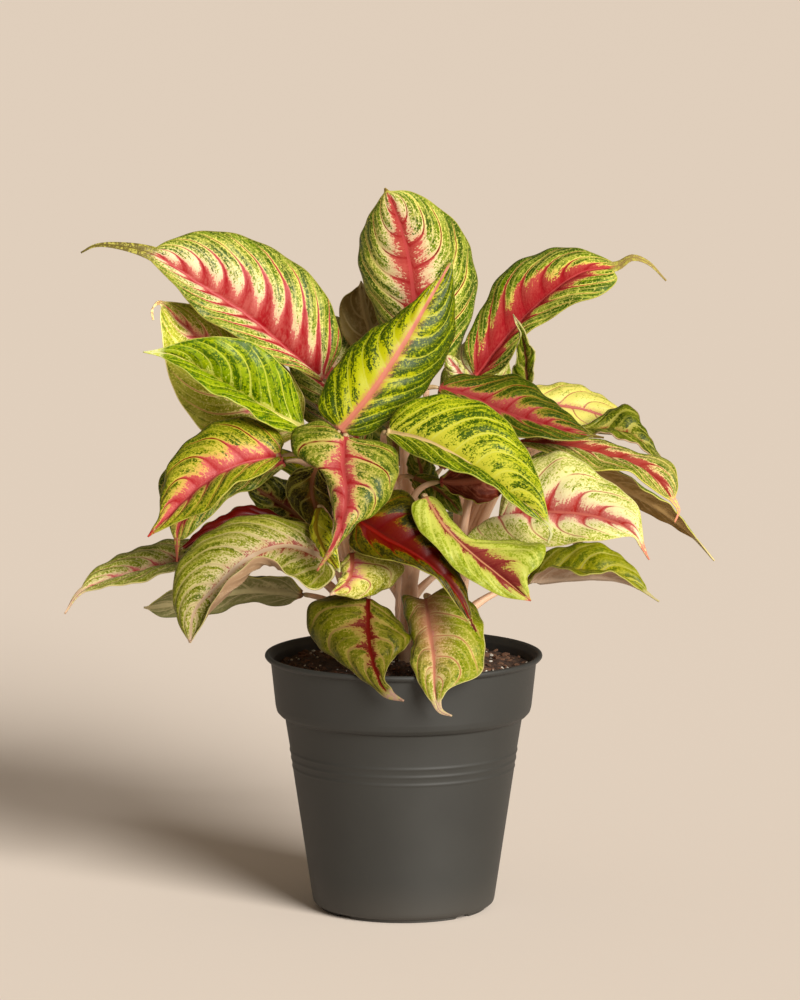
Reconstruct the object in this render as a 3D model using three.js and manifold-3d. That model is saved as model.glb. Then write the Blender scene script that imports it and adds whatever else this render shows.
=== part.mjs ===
// A potted Chinese evergreen: a dark nursery pot filled with soil, six leafy shoots that stand in
// it, and the leaf blades that the shoots carry on their stalks. Millimetres, +Z up, and the origin
// on the ground under the centre of the pot. The front is towards -Y.
import * as THREE from "three";
import { mergeVertices } from "three/addons/utils/BufferGeometryUtils.js";
import Module from "manifold-3d";

const wasm = await Module();
wasm.setup();

// ---- driving dimensions -------------------------------------------------------------------------
const FIT_GAP = 0.3; // clearance between pieces that touch

const RIM_RADIUS = 85; // outside of the rolled lip
const POT_HEIGHT = 158;
const BAND_HEIGHT = 38; // from the lip's top down to the foot of the rim band
const CORNER_RADIUS = 56; // outside of the body, just above its rounded bottom corner
const FOOT_RADIUS = 51;
const FOOT_RISE = 2; // height of the foot ring
const WALL = 1.7;
const POT_SIDES = 40;
const NOTCH = { count: 4, width: 10 }; // drain notches in the foot ring

const SOIL_DROP = 9; // from the lip's top down to the soil at the wall
const SOIL_HEAP = 3; // how much higher it is in the middle
const LUMP_HEIGHT = 0.9;
const SOIL_SIDES = 36;

const CANE_DEPTH = 45; // how deep a cane stands in the soil
const CANE_RADIUS = 7;
const CANE_TIP_RADIUS = 5;
const CANE_SIDES = 8;
const STALK_BASE_RADIUS = 4.2; // at its sheath on the cane
const STALK_RADIUS = 2.2; // where it meets the blade
const STALK_SIDES = 5;
const STALK_STEPS = 5;
const STALK_SPREAD = [0.6, 0.97]; // the stretch of the cane that carries them, as shares of it

const BLADE_THICKNESS = 0.9;
const RIB_DEPTH = 1.5; // how far the midrib stands out of the underside near the stalk
const NECK_SWELL = 1.2; // how much thicker the blade is where it meets its stalk
const NECK_HALF_WIDTH = 2.8;
const NECK_SHARE = 0.1; // of the blade's length
const DRIP_SHARE = 0.1; // of a leaf's length that is its thread-like tip
const DRIP_HALF_WIDTH = 2; // where it leaves the blade
const TIP_HALF_WIDTH = 0.7;
const BULGE = 0.13; // how high each half of a blade arches, as a share of its width
const WAVES = 2.6; // of the margin along a blade
const WAVE_HEIGHT = 1.5;

// ---- colours ------------------------------------------------------------------------------------
const COLOURS = {
  pot: { color: 0x3a3a38, roughness: 0.55 },
  soil: { color: 0x2b1c13, roughness: 1 },
  stalk: { color: 0xd9a99b, roughness: 0.5 },
  crimson: { color: 0xb83a3c, roughness: 0.4 },
  lime: { color: 0x8aa62a, roughness: 0.4 },
  cream: { color: 0xd8d59a, roughness: 0.4 },
  forest: { color: 0x5d7a28, roughness: 0.4 },
};

// ---- the front view -----------------------------------------------------------------------------
// Leaf points are given as the front view shows them: pixels across and down its picture, and how
// far the point lies behind the pot's axis in millimetres.
const PICTURE = { width: 800, height: 1000 };
const FOCAL_PIXELS = 5308;
const VIEW_FROM = new THREE.Vector3(0, -3200, 712);
const VIEW_TO = new THREE.Vector3(-2.2, 0, 252);
const viewTurn = new THREE.Matrix4().lookAt(VIEW_FROM, VIEW_TO, new THREE.Vector3(0, 0, 1));

function seen([across, down, depth]) {
  const ray = new THREE.Vector3(across - PICTURE.width / 2, PICTURE.height / 2 - down, -FOCAL_PIXELS);
  ray.transformDirection(viewTurn);
  return ray.multiplyScalar((depth - VIEW_FROM.y) / ray.y).add(VIEW_FROM);
}

// ---- solids -------------------------------------------------------------------------------------
function solidFrom(geometry) {
  const bare = geometry.clone();
  bare.deleteAttribute("normal");
  bare.deleteAttribute("uv");
  const merged = mergeVertices(bare, 1e-4);
  return new wasm.Manifold(
    new wasm.Mesh({
      numProp: 3,
      vertProperties: new Float32Array(merged.attributes.position.array),
      triVerts: new Uint32Array(merged.index.array),
    }),
  );
}

function geometryFrom(solid) {
  const mesh = solid.getMesh();
  return new THREE.BufferGeometry()
    .setAttribute("position", new THREE.BufferAttribute(new Float32Array(mesh.vertProperties), 3))
    .setIndex(new THREE.BufferAttribute(new Uint32Array(mesh.triVerts), 1));
}

// A profile of [radius, height] points turned round the Z axis.
function turned(profile, sides) {
  const points = profile.map(([radius, height]) => new THREE.Vector2(radius, height));
  return new THREE.LatheGeometry(points, sides).rotateX(Math.PI / 2);
}

// A round stem along a curve, whose radius goes evenly from its root to its end.
function stem(curve, rootRadius, endRadius, sides, steps) {
  const rod = new THREE.CylinderGeometry(1, 1, 1, sides, steps);
  const place = rod.attributes.position;
  const frames = curve.computeFrenetFrames(steps);
  for (let i = 0; i < place.count; i++) {
    const along = place.getY(i) + 0.5;
    const step = Math.round(along * steps);
    const radius = THREE.MathUtils.lerp(rootRadius, endRadius, along);
    const point = curve
      .getPointAt(along)
      .addScaledVector(frames.normals[step], radius * place.getX(i))
      .addScaledVector(frames.binormals[step], -radius * place.getZ(i));
    place.setXYZ(i, point.x, point.y, point.z);
  }
  return solidFrom(rod);
}

// ---- pot ----------------------------------------------------------------------------------------
const BAND_FOOT = POT_HEIGHT - BAND_HEIGHT;
const CORNER_TOP = FOOT_RISE + 4; // where the rounded bottom corner ends
const FLOOR_TOP = FOOT_RISE + WALL;
const BODY_SLOPE = 0.1477; // of the cone under the rim band
const RING_HEIGHTS = [87, 92, 97]; // the three shallow rings

const bodyRadius = (height) => CORNER_RADIUS + (height - CORNER_TOP) * BODY_SLOPE;
const BAND_RADIUS = 78.4; // outside of the rim band at its foot
const BAND_TOP_RADIUS = 81.3;
const BAND_START = BAND_FOOT + 6;
const LIP_FOOT = POT_HEIGHT - 4.4;

const potProfile = [
  [0, 0],
  [FOOT_RADIUS - 27, 0], // the pad in the middle of the underside
  [FOOT_RADIUS - 25, FOOT_RISE],
  [FOOT_RADIUS - 6, FOOT_RISE],
  [FOOT_RADIUS - 4, 0],
  [FOOT_RADIUS, 0],
  [FOOT_RADIUS, FOOT_RISE],
  [53.8, FOOT_RISE + 0.5],
  [55.4, FOOT_RISE + 1.9],
  [CORNER_RADIUS, CORNER_TOP],
  ...RING_HEIGHTS.flatMap((height) => [
    [bodyRadius(height), height],
    [bodyRadius(height) + 0.5, height + 1.2],
    [bodyRadius(height) + 0.2, height + 2.6],
  ]),
  [bodyRadius(BAND_FOOT) - 0.1, BAND_FOOT - 1],
  [75.4, BAND_FOOT + 0.2],
  [77.6, BAND_FOOT + 2.6],
  [BAND_RADIUS, BAND_START],
  [BAND_TOP_RADIUS, LIP_FOOT],
  [83.8, LIP_FOOT + 0.9],
  [RIM_RADIUS, LIP_FOOT + 2.4],
  [84.6, POT_HEIGHT - 0.5],
  [83.2, POT_HEIGHT],
  [81.8, POT_HEIGHT - 0.8],
  [BAND_TOP_RADIUS - WALL, LIP_FOOT],
  [BAND_RADIUS - WALL, BAND_START + 0.2],
  [75.2, BAND_START - 3.4],
  [bodyRadius(BAND_FOOT) - WALL, BAND_FOOT + 0.4],
  [CORNER_RADIUS - WALL, CORNER_TOP + 1],
  [52.6, FLOOR_TOP],
  [0, FLOOR_TOP],
];

function drainNotches() {
  const notches = [];
  for (let k = 0; k < NOTCH.count; k++) {
    const cutter = new THREE.BoxGeometry(9, NOTCH.width, FOOT_RISE * 2 - FIT_GAP)
      .translate(FOOT_RADIUS - 1, 0, 0)
      .rotateZ(((k + 0.5) / NOTCH.count) * 2 * Math.PI);
    notches.push(solidFrom(cutter));
  }
  return wasm.Manifold.union(notches);
}

const potSolid = () => solidFrom(turned(potProfile, POT_SIDES)).subtract(drainNotches());

// ---- leaf blades --------------------------------------------------------------------------------
const BLADE_ROWS = [0, 0.04, 0.12, 0.24, 0.38, 0.53, 0.68, 0.84, 1]; // shares of the blade
const DRIP_ROWS = [1.3, 1.65, 2];
const LONG_DRIP = 0.2; // from this share on, the drip tip has all its rows
const BLADE_COLUMNS = [-1, -0.55, 0, 0.55, 1]; // from the left margin over the midrib to the right

const smoothCurve = (points) => new THREE.CatmullRomCurve3(points, false, "centripetal");

// The point at a distance from a centre, square to an axis there, on the side of another point.
const beside = (centre, axis, point, distance) =>
  point.clone().sub(centre).projectOnPlane(axis).setLength(distance).add(centre);

// The curves of a blade: its midrib, out to the end of the drip tip, and its two margins, which
// leave the stalk beside the midrib and come back to it where the drip tip starts.
function bladeCurves(leaf) {
  const rib = smoothCurve(leaf.rib.map(seen));
  const drip = leaf.drip ?? DRIP_SHARE;
  const flare = leaf.flare ?? DRIP_HALF_WIDTH;
  const [base, heading] = [rib.getPointAt(0), rib.getTangentAt(0)];
  const [end, ending] = [rib.getPointAt(1 - drip), rib.getTangentAt(1 - drip)];
  const margins = [leaf.left, leaf.right].map((given) => {
    const points = given.map(seen);
    const first = beside(base, heading, points[0], NECK_HALF_WIDTH);
    const last = beside(end, ending, points.at(-1), flare);
    return smoothCurve([first, ...points, last]);
  });
  return { rib, margins, drip, flare, bulge: leaf.bulge ?? [BULGE, BULGE] };
}

// A point of the blade's middle surface: u runs along the blade, 1 where the drip tip starts and 2
// at its end, and v across it. Each half arches up between the midrib and its margin.
function bladePoint({ rib, margins, drip, flare, bulge }, u, v) {
  const side = v < 0 ? 0 : 1;
  const reach = Math.abs(v);
  const along = u < 1 ? u * (1 - drip) : 1 - drip * (2 - u);
  const middle = rib.getPointAt(along);
  const tangent = rib.getTangentAt(along);
  const edge = margins[side].getPointAt(Math.min(u, 1));
  const across = edge.clone().sub(u < 1 ? middle : rib.getPointAt(1 - drip));
  if (u > 1) {
    const taper = 2 - u;
    across.projectOnPlane(tangent);
    across.setLength(THREE.MathUtils.lerp(TIP_HALF_WIDTH, flare, taper));
  }
  const up = side
    ? new THREE.Vector3().crossVectors(across, tangent).normalize()
    : new THREE.Vector3().crossVectors(tangent, across).normalize();
  const arch = 4 * reach * (1 - reach) * bulge[side] * across.length();
  const calm = Math.sin(Math.PI * Math.min(u, 1)); // no waves at either end
  const swell = WAVE_HEIGHT * reach ** 2 * calm * Math.sin(2 * Math.PI * (WAVES * u + 0.37 * side));
  return middle.addScaledVector(across, reach).addScaledVector(up, arch + swell);
}

// The upward normal, from the surface's own slopes along and across.
function bladeNormal(curves, u, v) {
  const step = 0.02;
  const slope = (du, dv) => {
    const ahead = bladePoint(curves, Math.min(u + du, 2), Math.min(v + dv, 1));
    return ahead.sub(bladePoint(curves, Math.max(u - du, 0), Math.max(v - dv, -1)));
  };
  const normal = new THREE.Vector3().crossVectors(slope(0, step), slope(step, 0));
  if (u === 0) normal.projectOnPlane(curves.rib.getTangentAt(0)); // the base edge is cut square
  return normal.normalize();
}

// The blade as a thin closed solid. Both faces are split into triangles alike.
function bladeGeometry(leaf) {
  const curves = bladeCurves(leaf);
  const rows = [...BLADE_ROWS, ...(curves.drip > LONG_DRIP ? DRIP_ROWS : [2])];
  const top = [];
  const under = [];
  for (const u of rows) {
    const neck = Math.max(0, 1 - u / NECK_SHARE); // the blade thickens into its stalk
    const half = (BLADE_THICKNESS + NECK_SWELL * neck) / 2;
    for (const v of BLADE_COLUMNS) {
      const point = bladePoint(curves, u, v);
      const normal = bladeNormal(curves, u, v);
      const depth = v === 0 ? RIB_DEPTH * (1 - u / 2) * (1 - neck) : 0;
      top.push(point.clone().addScaledVector(normal, half));
      under.push(point.clone().addScaledVector(normal, -half - depth));
    }
  }
  return shellGeometry(top, under, rows.length, BLADE_COLUMNS.length);
}

// Two grids of points, one above the other, closed round their edge.
function shellGeometry(top, under, rows, columns) {
  const faces = [];
  const at = (i, j) => i * columns + j;
  const below = (index) => index + top.length;
  for (let i = 0; i < rows - 1; i++) {
    for (let j = 0; j < columns - 1; j++) {
      const [a, b, c, d] = [at(i, j), at(i, j + 1), at(i + 1, j + 1), at(i + 1, j)];
      faces.push(a, b, d, b, c, d);
      faces.push(below(a), below(d), below(b), below(b), below(d), below(c));
    }
  }
  const wall = (a, b) => faces.push(b, a, below(a), b, below(a), below(b));
  for (let i = 0; i < rows - 1; i++) {
    wall(at(i + 1, 0), at(i, 0));
    wall(at(i, columns - 1), at(i + 1, columns - 1));
  }
  for (let j = 0; j < columns - 1; j++) {
    wall(at(0, j), at(0, j + 1));
    wall(at(rows - 1, j + 1), at(rows - 1, j));
  }
  const positions = [...top, ...under].flatMap((point) => point.toArray());
  return new THREE.BufferGeometry()
    .setAttribute("position", new THREE.Float32BufferAttribute(positions, 3))
    .setIndex(faces);
}

// ---- shoots and leaves --------------------------------------------------------------------------
// Each cane stands in the soil at its foot and leans to its top, both in millimetres.
const SHOOTS = {
  front_left: { foot: [-20, -22], top: [-25, -27, 200] },
  front_right: { foot: [26, -24], top: [31, -29, 195] },
  left: { foot: [-28, 16], top: [-36, 20, 210] },
  right: { foot: [28, 20], top: [36, 24, 215] },
  center: { foot: [2, 2], top: [4, 4, 228] },
  back: { foot: [0, 42], top: [0, 52, 205] },
};

// rib: the midrib from the stalk to the tip. left and right: the margins from the stalk to where the
// drip tip starts, as the stalk sees them with the upper face on top. bulge: the arch of the two
// halves; a negative one hangs as a hollow. drip: the drip tip's share of the leaf. flare: half its
// width where it leaves the blade. climb and neck: the stretches over which the stalk keeps the
// direction of its cane and of the midrib, as shares of its span.
const LEAVES = {
  upper_left: {
    shoot: "left",
    colour: "crimson",
    rib: [
      [323, 379, 10], [288, 351, 6], [252, 320, 2], [200, 285, -2], [154, 255, -5],
      [118, 246, -6], [95, 246, -7], [81, 253, -8],
    ],
    left: [[292, 368, -5], [240, 341, -20], [200, 313, -20], [174, 286, -12]],
    right: [[341, 345, 13], [320, 287, 16], [268, 246, 16], [208, 231, 9], [170, 240, 0]],
    drip: 0.26,
    flare: 4.8,
  },
  top: {
    shoot: "center",
    colour: "crimson",
    rib: [[424, 358, 24], [415, 304, 20], [408, 255, 16], [397, 216, 10], [385, 188, 2]],
    left: [[388, 338, 30], [368, 293, 33], [358, 250, 31], [366, 222, 20], [379, 200, 8]],
    right: [[450, 362, 28], [471, 315, 38], [476, 272, 40], [460, 228, 28], [412, 192, 9]],
    drip: 0.03,
  },
  front_high: {
    shoot: "front_left",
    colour: "lime",
    rib: [[340, 430, -45], [371, 393, -42], [400, 350, -36], [428, 302, -26], [453, 258, -15]],
    left: [[319, 410, -41], [331, 372, -33], [362, 338, -25], [398, 313, -22], [430, 287, -20]],
    right: [[362, 436, -42], [400, 413, -34], [438, 374, -22], [453, 335, -17], [454, 290, -17]],
    drip: 0.03,
  },
  upper_right: {
    shoot: "right",
    colour: "crimson",
    rib: [
      [477, 377, 20], [505, 340, 18], [541, 302, 14], [581, 273, 10], [618, 266, 8],
      [632, 258, 6], [648, 263, 4], [666, 281, 2],
    ],
    left: [[465, 350, 23], [479, 312, 34], [508, 270, 38], [552, 248, 31], [592, 253, 17]],
    right: [[500, 371, 10], [530, 333, 4], [565, 309, -4], [600, 296, -6], [617, 280, 2]],
    drip: 0.26,
    flare: 3.6,
  },
  left_bright: {
    shoot: "front_left",
    colour: "lime",
    rib: [[302, 428, -25], [262, 407, -30], [215, 379, -34], [175, 356, -38], [143, 352, -40]],
    left: [[288, 433, -36], [255, 416, -52], [215, 393, -56], [180, 369, -47]],
    right: [[301, 408, -23], [290, 376, -28], [260, 347, -36], [220, 336, -39], [185, 341, -39]],
    flare: 3.2,
  },
  left_back: {
    shoot: "left",
    colour: "cream",
    rib: [
      [300, 432, 10], [255, 400, 11], [215, 352, 10], [180, 322, 7], [159, 303, 3],
      [152, 309, -1], [153, 320, -4],
    ],
    left: [[262, 452, 8], [214, 440, 7], [179, 400, 4], [163, 350, -9], [160, 318, -6]],
    right: [[303, 395, 16], [268, 350, 23], [225, 318, 21], [188, 304, 10]],
    drip: 0.12,
  },
  young: {
    shoot: "right",
    colour: "forest",
    rib: [[527, 387, 6], [526, 360, -4], [522, 335, -16], [513, 314, -20]],
    left: [[513, 374, -2], [517, 350, -12], [519, 332, -19]],
    right: [[534, 374, -2], [535, 356, -9], [528, 337, -18]],
  },
  left_red: {
    shoot: "front_left",
    colour: "crimson",
    rib: [[280, 456, -40], [240, 466, -50], [200, 488, -58], [167, 518, -64], [148, 537, -67]],
    left: [[270, 470, -55], [240, 483, -75], [216, 504, -79], [183, 521, -71]],
    right: [
      [284, 440, -36], [258, 420, -31], [215, 423, -32], [176, 453, -42], [162, 492, -52],
      [158, 519, -62],
    ],
    drip: 0.05,
    neck: 0.55,
    climb: 0.2,
  },
  left_red_low: {
    shoot: "left",
    colour: "crimson",
    rib: [[284, 462, -8], [235, 478, -16], [200, 500, -23], [180, 525, -27], [177, 562, -30]],
    left: [[272, 477, -14], [255, 488, -22], [228, 500, -27], [200, 526, -30], [186, 538, -30]],
    right: [[268, 440, -5], [220, 438, -6], [172, 462, -11], [159, 486, -17], [168, 522, -25]],
    drip: 0.14,
  },
  left_strip: {
    shoot: "left",
    colour: "crimson",
    rib: [[282, 522, -12], [245, 518, -18], [210, 532, -22], [176, 553, -22]],
    left: [[262, 534, -21], [228, 540, -29], [198, 550, -31]],
    right: [[268, 509, -10], [238, 508, -12], [203, 528, -18]],
    drip: 0.05,
  },
  left_dark: {
    shoot: "left",
    colour: "forest",
    rib: [[312, 524, 6], [288, 509, 7], [262, 492, 8], [243, 480, 9]],
    left: [[290, 530, 6], [268, 518, 6], [252, 500, 7]],
    right: [[314, 504, 10], [295, 484, 11], [265, 476, 11]],
    drip: 0.05,
  },
  left_low_big: {
    shoot: "front_left",
    colour: "cream",
    rib: [
      [327, 557, -50], [285, 546, -62], [248, 558, -74], [218, 585, -84], [194, 612, -90],
      [190, 643, -92],
    ],
    left: [
      [334, 574, -56], [318, 590, -54], [292, 576, -66], [262, 558, -88], [230, 576, -102],
      [206, 618, -98],
    ],
    right: [
      [318, 530, -46], [283, 518, -42], [235, 519, -50], [196, 540, -60], [174, 580, -74],
      [177, 620, -86],
    ],
    drip: 0.02,
    bulge: [-0.36, 0.14],
  },
  left_low_light: {
    shoot: "left",
    colour: "cream",
    rib: [
      [240, 556, 15], [190, 563, 8], [145, 572, 2], [105, 582, -4], [80, 593, -8],
      [65, 614, -10],
    ],
    left: [[220, 567, -2], [170, 574, -19], [118, 586, -18]],
    right: [[225, 545, 23], [185, 541, 28], [150, 543, 27], [115, 559, 14], [91, 572, 1]],
    drip: 0.16,
    flare: 2.8,
  },
  left_lowest: {
    shoot: "left",
    colour: "forest",
    rib: [[302, 594, 0], [250, 590, -6], [200, 600, -12], [165, 606, -18], [144, 608, -22]],
    left: [[288, 578, -12], [245, 577, -26], [195, 583, -32], [160, 598, -27]],
    right: [[285, 605, 8], [250, 604, 12], [205, 614, 6], [162, 617, -13]],
    drip: 0.03,
  },
  center_droop: {
    shoot: "front_left",
    colour: "crimson",
    rib: [[345, 437, -60], [343, 465, -72], [346, 500, -84], [336, 540, -93], [317, 571, -98]],
    left: [[370, 441, -57], [394, 447, -57], [398, 473, -70], [382, 508, -80], [356, 525, -87]],
    right: [
      [322, 421, -56], [295, 430, -52], [293, 452, -60], [318, 466, -62], [333, 495, -70],
      [336, 525, -85],
    ],
    drip: 0.14,
    neck: 0.1,
  },
  right_yellow: {
    shoot: "center",
    colour: "lime",
    rib: [
      [388, 432, -50], [425, 441, -60], [465, 462, -70], [505, 491, -80], [540, 517, -89],
      [551, 532, -92], [547, 543, -93],
    ],
    left: [
      [391, 419, -46], [401, 407, -46], [440, 394, -46], [490, 408, -51], [524, 445, -64],
      [543, 492, -82],
    ],
    right: [[404, 449, -65], [435, 466, -86], [470, 473, -94], [508, 501, -96]],
    neck: 0.1,
  },
  center_red: {
    shoot: "front_left",
    colour: "crimson",
    rib: [[357, 518, -60], [385, 538, -67], [420, 558, -75], [452, 588, -83], [476, 632, -92]],
    left: [[368, 500, -56], [402, 490, -50], [434, 526, -58], [455, 562, -68], [468, 600, -82]],
    right: [[350, 545, -64], [374, 559, -75], [410, 564, -84], [438, 583, -87], [460, 610, -89]],
    drip: 0.08,
  },
  small_center: {
    shoot: "front_left",
    colour: "cream",
    rib: [[352, 553, -55], [352, 568, -60], [348, 581, -64], [330, 595, -67]],
    left: [[385, 556, -50], [404, 566, -50], [392, 585, -54], [360, 598, -62]],
    right: [[342, 562, -52], [341, 578, -59]],
  },
  small_strip: {
    shoot: "front_left",
    colour: "lime",
    rib: [[319, 508, -56], [316, 528, -62], [325, 550, -66], [340, 572, -68]],
    left: [[332, 520, -62], [334, 540, -68], [339, 556, -69]],
    right: [[312, 522, -56], [313, 540, -59], [327, 560, -64]],
    drip: 0.05,
    neck: 0.08,
  },
  center_dark: {
    shoot: "front_left",
    colour: "forest",
    rib: [[316, 467, -14], [311, 486, -12], [315, 508, -14], [324, 530, -18], [331, 548, -22]],
    left: [[328, 476, -10], [332, 496, -8], [333, 520, -12]],
    right: [[296, 470, -16], [285, 488, -16], [298, 514, -18]],
    drip: 0.1,
  },
  lower_yellow: {
    shoot: "front_right",
    colour: "lime",
    rib: [[426, 497, -64], [444, 526, -70], [469, 551, -75], [500, 576, -81], [531, 601, -86]],
    left: [
      [434, 498, -52], [453, 521, -60], [476, 541, -65], [512, 541, -66], [545, 546, -74],
      [542, 562, -80], [528, 576, -84],
    ],
    right: [[412, 504, -67], [419, 530, -75], [441, 553, -83], [472, 582, -88], [505, 597, -87]],
    drip: 0.03,
    neck: 0.1,
  },
  center_small_green: {
    shoot: "center",
    colour: "forest",
    rib: [[414, 478, -26], [432, 486, -30], [452, 502, -34], [462, 515, -36]],
    left: [[421, 474, -25], [440, 478, -28], [458, 494, -34]],
    right: [[419, 492, -29], [438, 506, -35]],
    drip: 0.05,
  },
  center_small_tall: {
    shoot: "center",
    colour: "forest",
    rib: [[424, 500, -12], [422, 475, -15], [414, 444, -19]],
    left: [[411, 482, -13], [407, 461, -17]],
    right: [[438, 485, -11], [432, 461, -15]],
    drip: 0.08,
  },
  right_dark_red: {
    shoot: "center",
    colour: "crimson",
    rib: [
      [440, 388, -8], [470, 397, -14], [502, 412, -22], [540, 424, -30], [575, 434, -35],
      [604, 438, -38],
    ],
    left: [[450, 377, -3], [478, 375, 0], [515, 376, -1], [550, 398, -16], [578, 423, -30]],
    right: [[462, 412, -25], [500, 432, -43], [545, 440, -49], [580, 440, -42]],
    drip: 0.08,
  },
  right_pale: {
    shoot: "right",
    colour: "cream",
    rib: [[505, 405, 28], [545, 405, 32], [585, 410, 34], [615, 422, 35], [632, 438, 35]],
    left: [[515, 391, 35], [550, 384, 44], [590, 389, 46], [616, 407, 40]],
    right: [[520, 424, 22], [560, 431, 23], [602, 434, 29]],
    drip: 0.06,
  },
  right_folded: {
    shoot: "right",
    colour: "forest",
    rib: [[582, 430, 8], [605, 431, 5], [632, 437, 0], [650, 450, -4], [663, 461, -6]],
    left: [[596, 420, 10], [612, 408, 17], [630, 407, 16], [645, 428, 8], [655, 449, -1]],
    right: [[595, 434, -6], [622, 438, -14], [645, 452, -12]],
    drip: 0.05,
  },
  right_long: {
    shoot: "front_right",
    colour: "crimson",
    rib: [
      [520, 442, -15], [565, 446, -19], [610, 457, -24], [650, 475, -29], [672, 500, -33],
      [678, 511, -34], [674, 522, -34],
    ],
    left: [[545, 436, -5], [590, 440, 0], [630, 452, -4], [668, 460, -17], [678, 484, -28]],
    right: [[550, 453, -28], [590, 468, -42], [622, 471, -46], [648, 486, -42]],
    drip: 0.13,
    flare: 2.6,
  },
  right_narrow: {
    shoot: "right",
    colour: "forest",
    rib: [[565, 452, 14], [610, 480, 20], [655, 506, 26], [690, 533, 30], [714, 561, 32]],
    left: [[585, 471, 29], [622, 495, 42], [668, 525, 38]],
    right: [[590, 461, 5], [640, 485, 5], [680, 517, 20]],
    drip: 0.16,
  },
  right_cream: {
    shoot: "front_right",
    colour: "cream",
    rib: [
      [500, 522, -40], [530, 514, -48], [565, 513, -57], [600, 518, -65], [630, 531, -72],
      [649, 560, -76],
    ],
    left: [[502, 497, -38], [518, 468, -36], [560, 452, -40], [600, 475, -52], [637, 506, -65]],
    right: [
      [479, 529, -47], [466, 537, -50], [492, 541, -54], [550, 546, -71], [600, 541, -82],
      [633, 537, -77],
    ],
    flare: 2.6,
  },
  right_low: {
    shoot: "front_right",
    colour: "forest",
    rib: [[528, 583, -8], [560, 579, -12], [600, 578, -16], [627, 583, -18], [659, 602, -20]],
    left: [[545, 552, -3], [575, 545, 2], [604, 545, -2], [629, 563, -10], [645, 585, -16]],
    right: [[545, 569, -26], [580, 573, -36], [615, 575, -29]],
    drip: 0.12,
  },
  right_underside: {
    shoot: "center",
    colour: "crimson",
    rib: [[440, 482, -46], [468, 481, -41], [496, 475, -34], [520, 468, -26]],
    left: [[455, 494, -50], [482, 503, -44], [504, 491, -31]],
    right: [[455, 467, -44], [483, 461, -38], [508, 459, -29]],
    drip: 0.05,
  },
  rim_left: {
    shoot: "front_left",
    colour: "forest",
    rib: [
      [368, 599, -48], [368, 622, -60], [370, 648, -74], [378, 677, -88], [389, 694, -95],
      [404, 701, -97],
    ],
    left: [[395, 616, -49], [410, 640, -59], [392, 660, -78], [385, 680, -90]],
    right: [[335, 594, -42], [309, 608, -43], [312, 638, -54], [345, 666, -75], [376, 690, -91]],
    drip: 0.14,
    flare: 3.4,
  },
  rim_right: {
    shoot: "front_right",
    colour: "cream",
    rib: [
      [426, 599, -48], [429, 625, -64], [434, 660, -82], [435, 690, -94], [440, 710, -98],
      [452, 716, -100],
    ],
    left: [[446, 588, -44], [476, 607, -48], [484, 640, -68], [480, 674, -86], [448, 690, -97]],
    right: [[402, 596, -38], [411, 632, -52], [411, 662, -76], [424, 692, -94]],
    drip: 0.16,
    flare: 3,
  },
  back_brown: {
    shoot: "back",
    colour: "forest",
    rib: [[388, 375, 52], [374, 340, 57], [364, 305, 60], [361, 281, 60]],
    left: [[398, 352, 58], [390, 318, 64], [377, 292, 64]],
    right: [[362, 362, 59], [342, 330, 64], [340, 303, 64]],
    drip: 0.05,
  },
  small_white: {
    shoot: "center",
    colour: "cream",
    rib: [[470, 388, 14], [459, 371, 14], [447, 356, 14]],
    left: [[456, 382, 16], [445, 369, 16]],
    right: [[468, 373, 16], [457, 359, 16]],
    drip: 0.05,
  },
  back_high: {
    shoot: "back",
    colour: "lime",
    rib: [[407, 379, 68], [410, 322, 84], [416, 266, 104], [423, 232, 128]],
    left: [[368, 355, 76], [360, 304, 92], [388, 253, 114]],
    right: [[446, 359, 74], [458, 305, 90], [442, 256, 114]],
  },
  back_mid_left: {
    shoot: "left",
    colour: "lime",
    rib: [[326, 502, 34], [281, 462, 54], [236, 452, 72], [189, 474, 86]],
    left: [[309, 488, 22], [257, 454, 32], [207, 455, 58]],
    right: [[329, 488, 54], [285, 450, 80], [231, 454, 92]],
  },
  back_mid_right: {
    shoot: "right",
    colour: "crimson",
    rib: [[482, 495, 34], [530, 456, 52], [574, 449, 70], [618, 475, 84]],
    left: [[478, 481, 54], [522, 444, 80], [576, 451, 92]],
    right: [[512, 484, 22], [557, 451, 34], [604, 455, 58]],
  },
  back_upper_left: {
    shoot: "left",
    colour: "crimson",
    rib: [[342, 414, 40], [323, 361, 62], [304, 325, 84], [282, 311, 108]],
    left: [[306, 398, 38], [281, 349, 58], [275, 318, 84]],
    right: [[368, 388, 56], [359, 342, 80], [324, 312, 104]],
  },
  back_upper_right: {
    shoot: "right",
    colour: "cream",
    rib: [[465, 426, 44], [482, 380, 66], [492, 350, 88], [500, 340, 112]],
    left: [[439, 400, 58], [449, 360, 82], [474, 338, 108]],
    right: [[498, 410, 42], [510, 376, 62], [506, 350, 88]],
  },
  back_left: {
    shoot: "back",
    colour: "crimson",
    rib: [[362, 458, 72], [314, 408, 98], [274, 385, 122], [233, 393, 142]],
    left: [[320, 431, 62], [269, 385, 84], [232, 377, 114]],
    right: [[372, 428, 92], [331, 387, 124], [274, 390, 144]],
  },
  back_right: {
    shoot: "back",
    colour: "cream",
    rib: [[442, 468, 72], [487, 430, 98], [524, 419, 122], [561, 431, 142]],
    left: [[432, 441, 92], [473, 412, 124], [526, 424, 144]],
    right: [[481, 444, 64], [532, 413, 88], [562, 414, 116]],
  },
  back_mid: {
    shoot: "back",
    colour: "forest",
    rib: [[397, 465, 82], [391, 427, 112], [385, 419, 140], [375, 438, 168]],
    left: [[359, 443, 84], [337, 415, 112], [344, 421, 144]],
    right: [[436, 442, 86], [448, 414, 114], [429, 424, 146]],
  },
  back_low: {
    shoot: "back",
    colour: "crimson",
    rib: [[407, 554, 84], [413, 522, 112], [419, 519, 138], [425, 543, 166]],
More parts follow.
